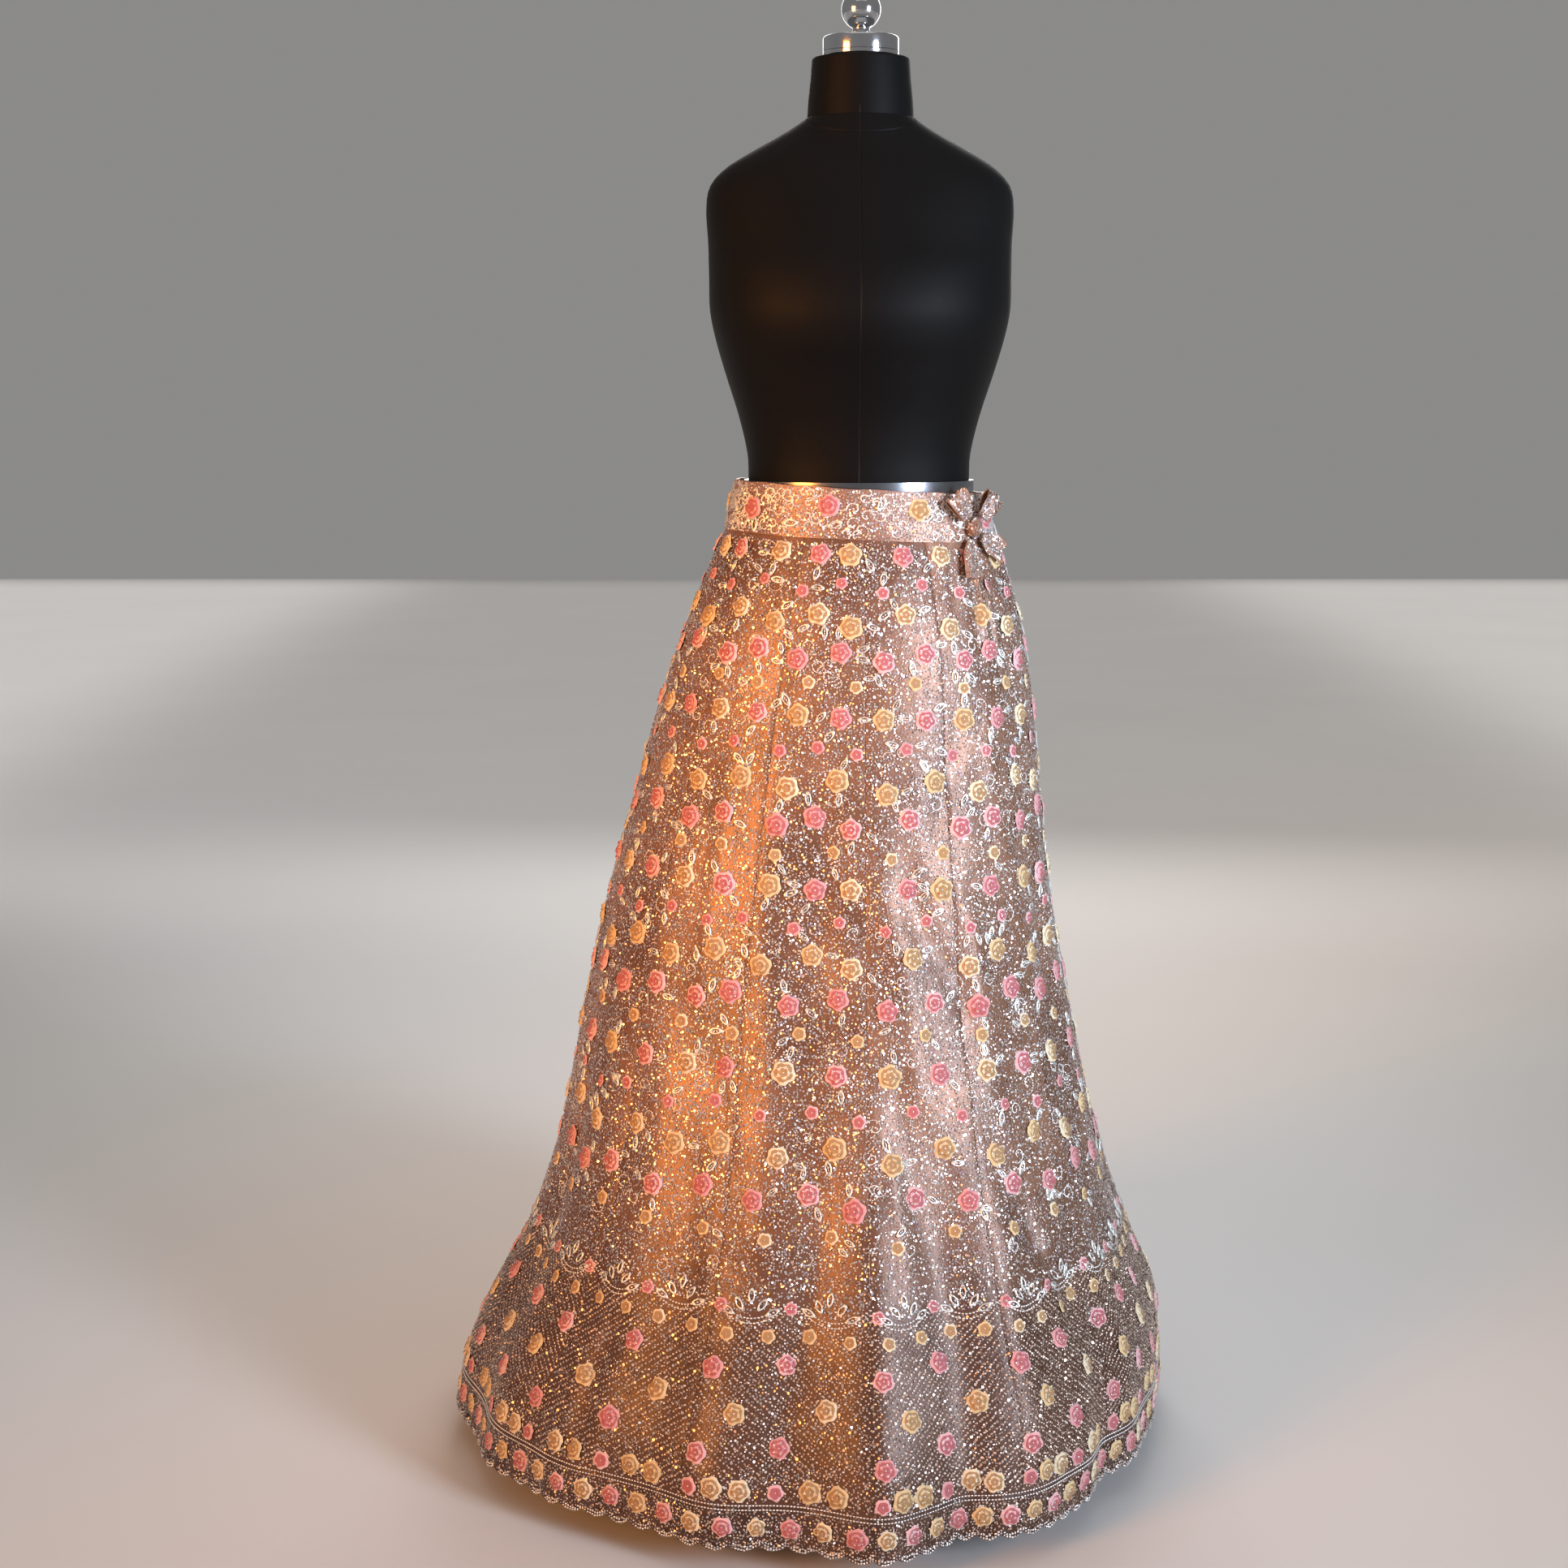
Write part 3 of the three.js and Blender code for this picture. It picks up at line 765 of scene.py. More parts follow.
def panel_angle(panel, across, share):
    """The angle at a share of a panel's width, clear of the seams."""
    start = FIRST_SEAM + panel * STEP
    middle = skirt_at(start, share)
    trim = np.degrees(HALF_GAP / np.hypot(middle[..., 0], middle[..., 1]))
    return start + trim + across * (STEP - 2 * trim)


def seam_tuck(across, width):
    """The cloth turns in where it is sewn to its neighbour."""
    edge = np.minimum(across, 1 - across) * width
    return -0.0007 * np.exp(-(edge / 0.0014) ** 2)


LOW = BORDER_SHARE + 2 * HALF_GAP / (SEAM_HEIGHT - HEM_HEIGHT)
PANEL_LEVELS = (0, 0.2, 0.4, 0.6, 0.8, 1.0)
PANEL_WIDTHS = [girth(level) / PANELS for level in PANEL_LEVELS]
BORDER_WIDTH = girth(0.02) / PANELS


def make_panel(panel):
    def place(across, up):
        share = LOW + up * (1 - LOW)
        eased = across - np.sin(across * FULL_TURN) * 0.055
        tuck = seam_tuck(eased, np.interp(share, PANEL_LEVELS, PANEL_WIDTHS))
        return skirt_at(panel_angle(panel, eased, share), share, tuck)

    piece, *cut = wall(f"skirt_panel_{panel + 1:02d}", 20, 92, place, [SATIN, LINING])
    hang(piece, "skirt_cloth", f"panel_{panel + 1:02d}")


def make_border(panel):
    def place(across, up):
        share = up * BORDER_SHARE
        scallop = 1 - np.abs(np.sin(across * SCALLOPS * np.pi))
        ruffle = np.sin(across * SCALLOPS * FULL_TURN + 1) * 0.0011 * (1 - up)
        tuck = seam_tuck(across, BORDER_WIDTH) - 0.0008 * smooth((up - 0.9) / 0.1)
        lift = SCALLOP_DEPTH * scallop * (1 - up)
        return skirt_at(panel_angle(panel, across, share), share, ruffle + tuck, lift)

    piece, *cut = wall(f"hem_border_{panel + 1:02d}", SCALLOPS * 8, 8, place, [BORDER, LINING])
    hang(piece, "border_cloth", f"border_{panel + 1:02d}")


# the skirt's surface and its directions, worked out once on a fine grid of angles and height shares
CHART_TURN, CHART_RISE = 1440, 500
ANGLES, SHARES = np.linspace(0, 360, CHART_TURN + 1), np.linspace(0, 1, CHART_RISE + 1)
CHART = axes_on(skirt_at, ANGLES[:, None], SHARES[None], 0.0)


def on_skirt(angle, share, out):
    """Points a little off the skirt, with the directions across it, up it and out of it."""
    a, s = (angle % 360) * (CHART_TURN / 360), np.clip(share, 0, 1) * CHART_RISE
    i, j = np.minimum(a.astype(int), CHART_TURN - 1), np.minimum(s.astype(int), CHART_RISE - 1)
    p, q = (a - i)[:, None], (s - j)[:, None]
    here, across, up, away = (
        (part[i, j] * (1 - p) + part[i + 1, j] * p) * (1 - q)
        + (part[i, j + 1] * (1 - p) + part[i + 1, j + 1] * p) * q
        for part in CHART
    )
    return here + unit(away) * out, unit(across), unit(up), unit(away)


works = [Work() for _ in range(PANELS)]
border_works = [Work() for _ in range(PANELS)]


def sew(motif, angle, share, out, size, turn=0.0, tilt=0.0, depth=1.0):
    """Stamps copies on whichever panel or border strip each one falls on."""
    angle = np.asarray(angle, float) % 360
    share, size, turn = (np.broadcast_to(v, angle.shape).astype(float) for v in (share, size, turn))
    panel = np.floor(across_panel(angle)).astype(int)
    low = share < BORDER_SHARE
    for index in range(PANELS):
        for group, chosen in ((works, ~low), (border_works, low)):
            which = (panel == index) & chosen
            if which.any():
                on = on_skirt(angle[which], share[which], out)
                group[index].stamp(motif, on, size[which], turn[which], tilt, depth)


FIELD_LOW = 0.215
SWAG_WIDTH, SWAG_RISE = 0.5, 0.016


def swag_line(angle):
    """Height share of the row of bead swags that parts the field from the lower border."""
    return FIELD_LOW + SWAG_RISE * (1 - np.abs(np.sin(across_panel(angle) / SWAG_WIDTH * np.pi)))


# rows of flowers down one repeat: kind, share of the repeat, then spacing, radius and zigzag in mm
REPEAT = [
    ("mixed", 0.0, 42, 12.2, 0),
    ("small pink", 0.2, 40, 7.0, 8),
    ("gold", 0.4, 44, 12.0, 12),
    ("pink", 0.62, 42, 12.0, 9),
    ("small gold", 0.8, 52, 7.5, 5),
]


def flower_rows():
    """All flower rows of the field, from the waist seam down, as the repeat grows."""
    rows, top, size, shift = [], 0.984, 0.168, 0
    while top > FIELD_LOW + 0.03:
        for kind, down, spacing, radius, zigzag in REPEAT:
            share = top - down * size
            if share > FIELD_LOW + 0.035:
                grown = 1 + 0.08 * (1 - share)
                rows.append((kind, share, spacing * (1 + 0.5 * (1 - share)), radius * grown, zigzag, shift))
                shift += 0.5
        top -= size
        size *= 1.06
    return rows


flowers = []
# rings of beads on a rose, from its heart: how many, how far out and how high, as shares of its radius
ROSE_BEADS = [(1, 0.0, 0.12), (5, 0.5, 0.1), (9, 1.02, 0.0)]


def off_the_seams(angle, share, margin):
    """Angles nudged so that what is sewn there lies wholly on one panel."""
    margin = np.degrees(margin / (girth_at(share) / FULL_TURN))
    start = np.floor(across_panel(angle)) * STEP
    return FIRST_SEAM + start + np.clip((angle - FIRST_SEAM) % 360 - start, margin, STEP - margin)


def sew_flower(kind, angle, share, radius):
    """Roses, each with beads in its hollow and round it. Gives back the angles where they lie."""
    n = len(angle)
    size = radius * chance.uniform(0.94, 1.08, n)
    angle = off_the_seams(angle, share, radius + 0.001)
    pale = chance.uniform(0, 1, n) < 0.4
    for motif, chosen in zip(ROSES[kind], (~pale, pale)):
        turn = chance.uniform(0, 6.28, chosen.sum())
        sew(motif, angle[chosen], share[chosen], 0.0005, size[chosen], turn, 0.05, ROSE_DEPTH)
    flowers.append(np.stack([angle % 360, share, size]))
    for count, reach, lift in ROSE_BEADS[:1 if "small" in kind else None]:
        for way in np.arange(count) * 6.283 / count + chance.uniform(0, 6):
            aside, along = shifted(angle, share, reach * size * math.cos(way), reach * size * math.sin(way))
            sew(CUT_BEAD, aside, along, 0.0006 + lift * size.mean(), 0.0011, way, 0.2)
    return angle


def shifted(angle, share, across, up):
    """The place some metres across and up the cloth from another."""
    return angle + np.degrees(across / (girth_at(share) / FULL_TURN)), share + up / CLOTH_RUN


def sew_leaves(angle, share, reach, chances, size):
    """A leaf beside each flower, pointing away from it."""
    n = len(angle)
    way = chance.uniform(0, FULL_TURN, n)
    aside, along = shifted(angle, share, reach * np.cos(way), reach * np.sin(way))
    ok = (along < 0.985) & (along > swag_line(aside) + 0.012) & (chance.uniform(0, 1, n) < chances)
    turn = way + chance.normal(0, 0.4, n)
    sizes = size * chance.uniform(0.85, 1.1, n)
    sew(CORD_LEAF, aside[ok], along[ok], 0.0008, sizes[ok], turn[ok], 0.06)
    for step in (-0.5, -0.17, 0.17, 0.5):
        at = shifted(aside, along, step * sizes * np.cos(turn), step * sizes * np.sin(turn))
        sew(LONG_BEAD, at[0][ok], at[1][ok], 0.0011, 0.0013, turn[ok], 0.1)


def sew_curls(count):
    """Tendrils of beads that curl between the flowers."""
    share = chance.uniform(FIELD_LOW + 0.03, 0.97, count)
    weight = girth_at(share)
    keep = chance.uniform(0, weight.max(), count) < weight
    share, angle = share[keep], chance.uniform(0, 360, keep.sum())
    side = chance.choice([-1, 1], len(share))
    start = chance.uniform(0, FULL_TURN, len(share))
    large = chance.uniform(0.7, 1.2, len(share))

    def put(across, up, turn):
        sew(LONG_BEAD, *shifted(angle, share, across, up), 0.0006, 0.0012, turn, 0.08)

    tendril(put, 20, start, side, 0.003, 0.009, 6.4, 0.75, large)


def clear_of_flowers(angle, share):
    """True where no rose lies, so that nothing is sewn under one."""
    free = np.ones(len(angle), bool)
    radius = girth_at(share) / FULL_TURN
    for rose_angle, rose_share, size in np.concatenate(flowers, axis=1).T:
        near = np.nonzero(np.abs(share - rose_share) < 0.02)[0]
        dx = np.radians(turn_between(angle[near], rose_angle)) * radius[near]
        dy = (share[near] - rose_share) * CLOTH_RUN
        free[near] &= dx * dx + dy * dy > (size * 0.9) ** 2
    return free


def strew(angle, share, mixture=MIXTURE):
    """Scatters spangles and beads at the places that no rose covers."""
    free = clear_of_flowers(angle, share)
    angle, share = angle[free], share[free]

    def put(motif, chosen, sizes, turn):
        sew(motif, angle[chosen], share[chosen], 0.0008, sizes, turn, 0.3)

    scatter(put, len(angle), mixture)


def meander(angle, share):
    """High along winding lines a couple of centimetres apart, low between them."""
    u = turn_between(angle, 0) / 360 * girth_at(share)
    v = share * CLOTH_RUN
    field = np.sin(u * 330 + 2.2 * np.sin(v * 150)) + np.sin(v * 290 + 2.2 * np.sin(u * 170 + 1))
    broad = np.sin(u * 61 + 2 * np.sin(v * 33)) * np.sin(v * 57 + 2 * np.sin(u * 29 + 2))
    return np.exp(-(field / 0.42) ** 2) + 0.22 * broad


def sew_scatter():
    """Loose sequins and beads all over the field, thicker along winding lines."""
    angles, shares = [], []
    share, pitch = FIELD_LOW, 0.00275
    while share < 0.997:
        n = int(girth_at(share) / pitch)
        angles.append(around(share, n, chance.uniform(0, 1)) + chance.normal(0, 0.26, n) * 360 / n)
        shares.append(share + chance.normal(0, 0.0009, n))
        share += pitch / CLOTH_RUN
    angle, share = np.concatenate(angles), np.concatenate(shares)
    keep = (share > swag_line(angle) + 0.004) & (share < 0.997)
    keep &= chance.uniform(0, 1, len(angle)) < 0.52 + 0.5 * meander(angle, share)
    strew(angle[keep], share[keep])


SLANT, BEAD_PITCH, ROW_PITCH = math.radians(38), 0.0037, 0.0055


def sew_slanted_rows():
    """The lower border: beads in slanting rows, mirrored from panel to panel."""
    wide, tall = girth(0.1) / PANELS, 0.2
    for panel in range(PANELS):
        slant = -SLANT if panel % 2 else SLANT
        bead, row = np.meshgrid(np.arange(-90, 90) * BEAD_PITCH, np.arange(-60, 60) * ROW_PITCH)
        bead, row = bead.ravel() + (row.ravel() / ROW_PITCH % 2) * 0.0018, row.ravel()
        x = bead * math.cos(slant) - row * math.sin(slant)
        y = bead * math.sin(slant) + row * math.cos(slant) + tall / 2
        ok = (np.abs(x) < wide / 2) & (y > 0) & (y < tall)
        x, y = x[ok] + chance.normal(0, 0.0005, ok.sum()), y[ok] + chance.normal(0, 0.0005, ok.sum())
        share = LOW + 0.0045 + y / 1.05
        angle = FIRST_SEAM + (panel + np.clip(x / wide + 0.5, 0.004, 0.996)) * STEP
        free = (share < swag_line(angle) - 0.002) & clear_of_flowers(angle, share)
        angle, share = angle[free], share[free]
        kind = chance.uniform(0, 1, len(angle))
        sizes = 0.00128 * chance.uniform(0.75, 1.3, len(angle))
        beads = kind < 0.62
        sew(DULL_BEAD, angle[beads], share[beads], 0.0006, sizes[beads], slant, 0.3)
        sew(DULL_DISC, angle[~beads], share[~beads], 0.001, sizes[~beads], kind[~beads] * 9, 0.34)
        loose = chance.uniform(0, 1, len(angle)) < 0.4
        aside, along = shifted(angle[loose], share[loose], 0.0018, 0.0024)
        keep = np.floor((aside - FIRST_SEAM) / STEP) == panel
        sew(SPANGLE, aside[keep], along[keep], 0.0007, 0.001, 0.5, 0.34)


# leaves over each swag's peak: metres across and up from it, turn in radians
SWAG_LEAVES = [
    (-0.011, 0.013, 2.2), (0, 0.021, 1.57), (0.011, 0.013, 0.94),
    (-0.021, 0.006, 2.7), (0.021, 0.006, 0.44),
]


def sew_lines():
    """Rows of beads: the swags, the line over the border and the scalloped edge."""
    angle = around(FIELD_LOW, int(girth(FIELD_LOW) / 0.0036), 0.5)
    for drop in (0.0, 0.0045):
        sew(LONG_BEAD, angle, swag_line(angle) - drop, 0.0008, 0.0017, 0.0, 0.05)
    peaks = FIRST_SEAM + (np.arange(PANELS / SWAG_WIDTH) + 0.5) * STEP * SWAG_WIDTH
    for across, up, turn in SWAG_LEAVES:
        sew(CORD_LEAF, *shifted(peaks, swag_line(peaks), across, up), 0.0009, 0.0078, turn, 0.08)
    for share in (LOW + 0.0018, BORDER_SHARE - 0.0024):
        angle = around(share, int(girth(share) / 0.0034), 0.3)
        sew(LONG_BEAD, angle, share, 0.0007, 0.0016, 0.0, 0.05)
    count = int(girth(0) / 0.0029)
    angle = around(0.001, count, 0.2)
    lift = SCALLOP_DEPTH * (1 - np.abs(np.sin(across_panel(angle) * SCALLOPS * np.pi)))
    tall = SEAM_HEIGHT - HEM_HEIGHT
    for up, jitter in ((0.0016, 0.0003), (0.0046, 0.0008)):
        share = (lift * tall + up) / tall + chance.normal(0, jitter, count)
        sew(CUT_BEAD, angle, share, 0.0006, 0.0015, 0.0, 0.25)


def sew_border_scatter():
    """Sequins along the hem's strip, under the roses."""
    for level in np.arange(0.0075, BORDER_SHARE - 0.005, 0.0033):
        n = int(girth(level) / 0.0034)
        angle = around(level, n, chance.uniform(0, 1)) + chance.normal(0, 0.12, n)
        share = level + chance.normal(0, 0.0007, n)
        keep = chance.uniform(0, 1, n) < 0.85
        strew(angle[keep] % 360, share[keep], DULL_MIXTURE)


def zigzagged(share, count, zigzag):
    """Heights that alternate by a zigzag in mm."""
    return share + np.where(np.arange(count) % 2, 0.5, -0.5) * zigzag * MM


def embroider_field():
    for kind, share, spacing, radius, zigzag, shift in flower_rows():
        count = 2 * round(girth(share) / (spacing * MM) / 2)
        angle = around(share, count, shift % 1)
        at = np.minimum(zigzagged(share, count, zigzag) + chance.normal(0, 0.0012, count), 0.986)
        odd = np.arange(count) % 2 == 1
        size = radius * MM
        if kind == "mixed":
            angle[odd] = sew_flower("pink", angle[odd], at[odd], size)
            angle[~odd] = sew_flower("gold", angle[~odd], at[~odd], size)
        else:
            angle = sew_flower(kind, angle, at, size)
        for chances in (0.95, 0.4):
            sew_leaves(angle, at, size + 0.0085, chances * (0.5 if "small" in kind else 1), 0.0078)


# flowers of the lower border: kind, height share, how many to a panel, radius in mm, shift, zigzag in mm
BORDER_FLOWERS = [
    ("small pink", 0.2245, 2, 7.5, 0.0, 0),
    ("small gold", 0.2, 4, 7.5, 0.5, 0),
    ("pink", 0.172, 2, 11.5, 0.0, 6),
    ("gold", 0.135, 2, 12.0, 0.5, 6),
    ("pink", 0.098, 2, 12.0, 0.0, 8),
    ("gold", 0.064, 2, 11.5, 0.36, 0),
    ("gold", 0.062, 2, 11.5, 0.64, 0),
    ("small pink", 0.06, 2, 9.0, 0.0, 0),
    ("gold", 0.0265, 3, 10.5, 0.25, 0),
    ("pink", 0.0255, 3, 11.0, 0.75, 0),
]


def embroider_border():
    for kind, share, each, radius, shift, zigzag in BORDER_FLOWERS:
        count = each * PANELS
        angle = FIRST_SEAM + (np.arange(count) + shift) * 360 / count
        at = zigzagged(share, count, zigzag) + chance.normal(0, 0.0006, count)
        sew_flower(kind, angle, at, radius * MM)


for number in range(PANELS):
    make_panel(number)
    make_border(number)
embroider_field()
embroider_border()
sew_curls(560)
sew_scatter()
sew_slanted_rows()
sew_lines()
sew_border_scatter()
for number in range(PANELS):
    works[number].make(f"panel_work_{number + 1:02d}", "skirt_cloth")
    border_works[number].make(f"border_work_{number + 1:02d}", "border_cloth")


# --- the waistband and its tie ---


BAND_START, BAND_SWEEP = OPENING + OPENING_HALF, 360 - 2 * OPENING_HALF
BAND_RADIUS, BAND_DEPTH = 0.128, 0.052
BAND_SEQUINS, BAND_CURLS, BAND_ROSES, BAND_LEAVES = 270, 290, 9, 18


def make_waistband():
    def place(across, up):
        edge = 0.0006 * np.exp(-((up - 0.94) / 0.05) ** 2) - 0.0009 * np.exp(-((up - 0.03) / 0.05) ** 2)
        return band_at(BAND_START + across * BAND_SWEEP, up, edge)

    piece, *cut = wall("skirt_waistband", 220, 12, place, [BAND, LINING])
    hang(piece, "band_cloth", "waistband")
    work = Work()

    def put_band(motif, angle, rise, size, turn, out=0.0008, lean=0.05, depth=1.0):
        inside = (angle > BAND_START + 0.3) & (angle < BAND_START + BAND_SWEEP - 0.3)
        inside &= (rise > 0.03) & (rise < 0.985)
        size, turn = (np.broadcast_to(v, angle.shape)[inside] for v in (size, turn))
        work.stamp(motif, axes_on(band_at, angle[inside], rise[inside], out), size, turn, lean, depth)

    def evenly(count, phase):
        return BAND_START + (np.arange(count) + phase) / count * BAND_SWEEP

    for level in np.arange(0.05, 0.99, 0.06):
        angle = evenly(BAND_SEQUINS, chance.uniform(0, 1)) + chance.normal(0, 0.35, BAND_SEQUINS)
        rise = level + chance.normal(0, 0.016, BAND_SEQUINS)

        def put_sequins(motif, chosen, sizes, turn):
            put_band(motif, angle[chosen], rise[chosen], sizes, turn, lean=0.35)

        scatter(put_sequins, BAND_SEQUINS)
    angle = BAND_START + chance.uniform(0, BAND_SWEEP, BAND_CURLS)
    rise = chance.uniform(0.08, 0.92, BAND_CURLS)
    first, side = chance.uniform(0, 6.28, BAND_CURLS), chance.choice([-1, 1], BAND_CURLS)

    def put_bead(across, up, turn):
        put_band(LONG_BEAD, angle + np.degrees(across / BAND_RADIUS), rise + up / BAND_DEPTH, 0.0016, turn)

    tendril(put_bead, 13, first, side, 0.002, 0.0055, 5)
    rose, order = evenly(BAND_ROSES, 0.35), np.arange(BAND_ROSES) % 3
    middle = 0.52 + chance.normal(0, 0.05, BAND_ROSES)
    for kind, chosen in (("pink", order < 2), ("gold", order == 2)):
        turn = chance.uniform(0, 6, chosen.sum())
        put_band(ROSES[kind][0], rose[chosen], middle[chosen], 0.0125, turn, 0.0012, 0.05, ROSE_DEPTH)
    rise, turn = 0.5 + chance.normal(0, 0.16, BAND_LEAVES), chance.uniform(0, 6, BAND_LEAVES)
    put_band(CORD_LEAF, evenly(BAND_LEAVES, 0.85), rise, 0.0085, turn, 0.0012)
    work.make("waistband_work", "band_cloth")


def knot_frame():
    """The knot's middle, then its directions along the band, up and out."""
    foot = band_at(np.array([OPENING]), np.array([0.55]), KNOT_STAND_OFF)[0]
    out = Vector((foot[0] / BAND_LOW[1] ** 2, foot[1] / BAND_LOW[2] ** 2, 0)).normalized()
    up = Vector((0, 0, 1))
    return Vector((foot[0], foot[1], KNOT_HEIGHT)), up.cross(out), up, out


KNOT, KNOT_ALONG, KNOT_UP, KNOT_OUT = knot_frame()


def from_knot(points):
    """Points given along the band, up and out from the knot, moved to where the knot is."""
    axes = np.array([KNOT_ALONG, KNOT_UP, KNOT_OUT])
    return np.array(KNOT) + points @ axes


def turned_strip(points, turns, start):
    """A strip's points turned by degrees about three axes and moved from the knot."""
    x, y, z = (math.radians(t) for t in turns)
    turn = Matrix.Rotation(z, 3, "Z") @ Matrix.Rotation(y, 3, "Y") @ Matrix.Rotation(x, 3, "X")
    return from_knot(points @ np.array(turn).T + np.array(start))


def dress_strip(name, surface, count):
    """Scatters sequins over a strip given as a function of (across, along, out)."""
    work = Work()
    first, second = chance.uniform(0.06, 0.94, count), chance.uniform(0.03, 0.97, count)
    here = surface(first, second, 0.0005)
    across = unit(surface(first + 0.01, second, 0.0005) - here)
    along = surface(first, second + 0.01, 0.0005) - here
    away = unit(np.cross(across, along))
    on = (here, across, np.cross(away, across), away)

    def put(motif, chosen, sizes, turn):
        work.stamp(motif, [v[chosen] for v in on], sizes, turn, 0.35)

    scatter(put, count)
    work.make(name, "band_cloth")


STRIP_THICKNESS, LOOP_HEIGHT = 0.0012, 0.0065
KNOT_HALVES = (0.009, 0.011, 0.008)


def tie_strip(name, node, rows, surface, trims, sequins):
    """A strip of the tie and its sequins, each kept a share of its length off both ends."""
    bare, dressed = trims
    place = lambda across, up: surface(1 - across, bare + up * (1 - 2 * bare), 0.0)
    piece, *cut = wall(name, 12, rows, place, [BAND, BAND], STRIP_THICKNESS)
    hang(piece, "band_cloth", node)
    sewn = lambda across, up, out: surface(1 - across, dressed + up * (1 - 2 * dressed), out)
    dress_strip(name + "_work", sewn, sequins)


def tie_loop(name, node, length, start, turns, seed):
    """A loop of the bow: the strip turned back on itself."""
    wave = np.random.default_rng(seed).uniform(0, 6.28, 4)

    def surface(across, along, out):
        turn = along * FULL_TURN + np.pi
        reach = 0.5 + 0.5 * np.cos(turn)
        pinch = 0.55 + 0.45 * np.sin(np.clip(reach, 0, 1) * 1.7)
        x = length * reach
        y = (LOOP_HEIGHT + out) * np.sin(turn) * (0.35 + 0.65 * reach)
        y = y + 0.0016 * np.sin(across * 10 + wave[0] + reach * 4) * (0.25 + 0.75 * reach)
        x = x + 0.0012 * np.sin(across * 7 + wave[1]) * reach
        z = (across - 0.5) * STRIP_WIDTH * pinch
        return turned_strip(np.stack([x, y, z], -1), turns, start)

    tie_strip(name, node, 44, surface, (0.01, 0.03), 330)


def tie_end(name, node, length, start, turns, seed):
    """An end of the bow: the strip cut slanting."""
    wave = np.random.default_rng(seed).uniform(0, 6.28, 4)

    def surface(across, along, out):
        wide = 0.010 + (STRIP_WIDTH - 0.010) * smooth(along / 0.4)
        slant = 1 - 0.14 * across
        x = along * length * slant
        y = (across - 0.5) * wide
        z = out + 0.001 + 0.0016 * np.sin(across * 8 + wave[0] + along * 2) * (0.4 + along)
        return turned_strip(np.stack([x, y, z], -1), turns, start)

    tie_strip(name, node, 24, surface, (0.0, 0.0), 170)


def make_tie():
    start_clean()
    bpy.ops.mesh.primitive_uv_sphere_add(segments=28, ring_count=18, radius=1)
    knot = named("tie_knot_wrap", BAND)
    points = np.array([v.co[:] for v in knot.data.vertices])
    turn = np.arctan2(points[:, 1], points[:, 0])
    groove = 1 - 0.07 * np.abs(np.sin(turn * 2.5 + points[:, 2] * 1.6)) ** 0.6
    points = points * groove[:, None] * np.array(KNOT_HALVES)
    knot.data.vertices.foreach_set("co", from_knot(points).ravel())
    knot.data.uv_layers.active.name = "cloth"
    bpy.ops.object.shade_smooth()
    hang(knot, "band_cloth", "tie_knot")

    def round_knot(across, along, out):
        turn, rise = across * FULL_TURN, (along - 0.5) * np.pi
        ball = np.stack([np.cos(rise) * np.cos(turn), np.cos(rise) * np.sin(turn), np.sin(rise)], -1)
        return from_knot(ball * (np.array(KNOT_HALVES) + out))

    dress_strip("tie_knot_work", round_knot, 110)
    tie_loop("tie_front_loop", "tie_loop_front", 0.032, (-0.011, 0.009, 0.0005), (78, 0, 128), 3)
    tie_loop("tie_side_loop", "tie_loop_side", 0.030, (0.011, 0.009, 0.0005), (82, 0, 50), 5)
    tie_end("tie_front_end", "tie_end_front", 0.046, (-0.005, -0.013, -0.001), (0, -20, -106), 7)
    tie_end("tie_side_end", "tie_end_side", 0.036, (0.012, -0.011, -0.001), (0, -8, -30), 9)


make_waistband()
make_tie()

# --- the dress form and its stand ---

# height, half-width, front and back depth in mm
TORSO = np.array([
    (1058.6, 118, 92, 88), (1085, 119, 93, 89), (1125, 128, 101, 93), (1170, 142, 117, 99),
    (1205, 152, 131, 104), (1235, 158, 136, 108), (1270, 159, 129, 110), (1305, 160, 112, 109),
    (1340, 162, 95, 103), (1364, 158, 83, 94), (1382, 142, 75, 85), (1398, 116, 68, 76),
    (1412, 90, 63, 69), (1424, 69, 60, 63), (1432, 58, 57, 58),
], dtype=float).T * MM
HIPS = np.array([
    (762, 150, 98, 108), (800, 160, 106, 118), (860, 163, 110, 122), (920, 154, 108, 115),
    (975, 138, 101, 103), (1010, 127, 97, 95), (1031.7, 121, 94, 90),
], dtype=float).T * MM
AROUND = 72


def loft(name, node, table, rings):
    """A closed body drawn up ring by ring, each ring scaled and moved from the last."""
    heights = np.linspace(table[0][0], table[0][-1], rings)
    side, front, back = (along_table(table[0], table[n], heights) for n in (1, 2, 3))
    deep, middle = (front + back) / 2, (back - front) / 2
    start_clean()
    bpy.ops.mesh.primitive_circle_add(vertices=AROUND, radius=1, fill_type="NGON")
    piece = named(name, JERSEY)
    edit()
    scale_by(side[0], deep[0], 1)
    bpy.ops.transform.translate(value=(0, middle[0], heights[0]))
    for i in range(1, rings):
        bpy.ops.mesh.extrude_region_move()
        scale_by(side[i] / side[i - 1], deep[i] / deep[i - 1], 1, (0, middle[i - 1], heights[i - 1]))
        bpy.ops.transform.translate(value=(0, middle[i] - middle[i - 1], heights[i] - heights[i - 1]))
    close_up(40)
    hang(piece, "form_cover", node)


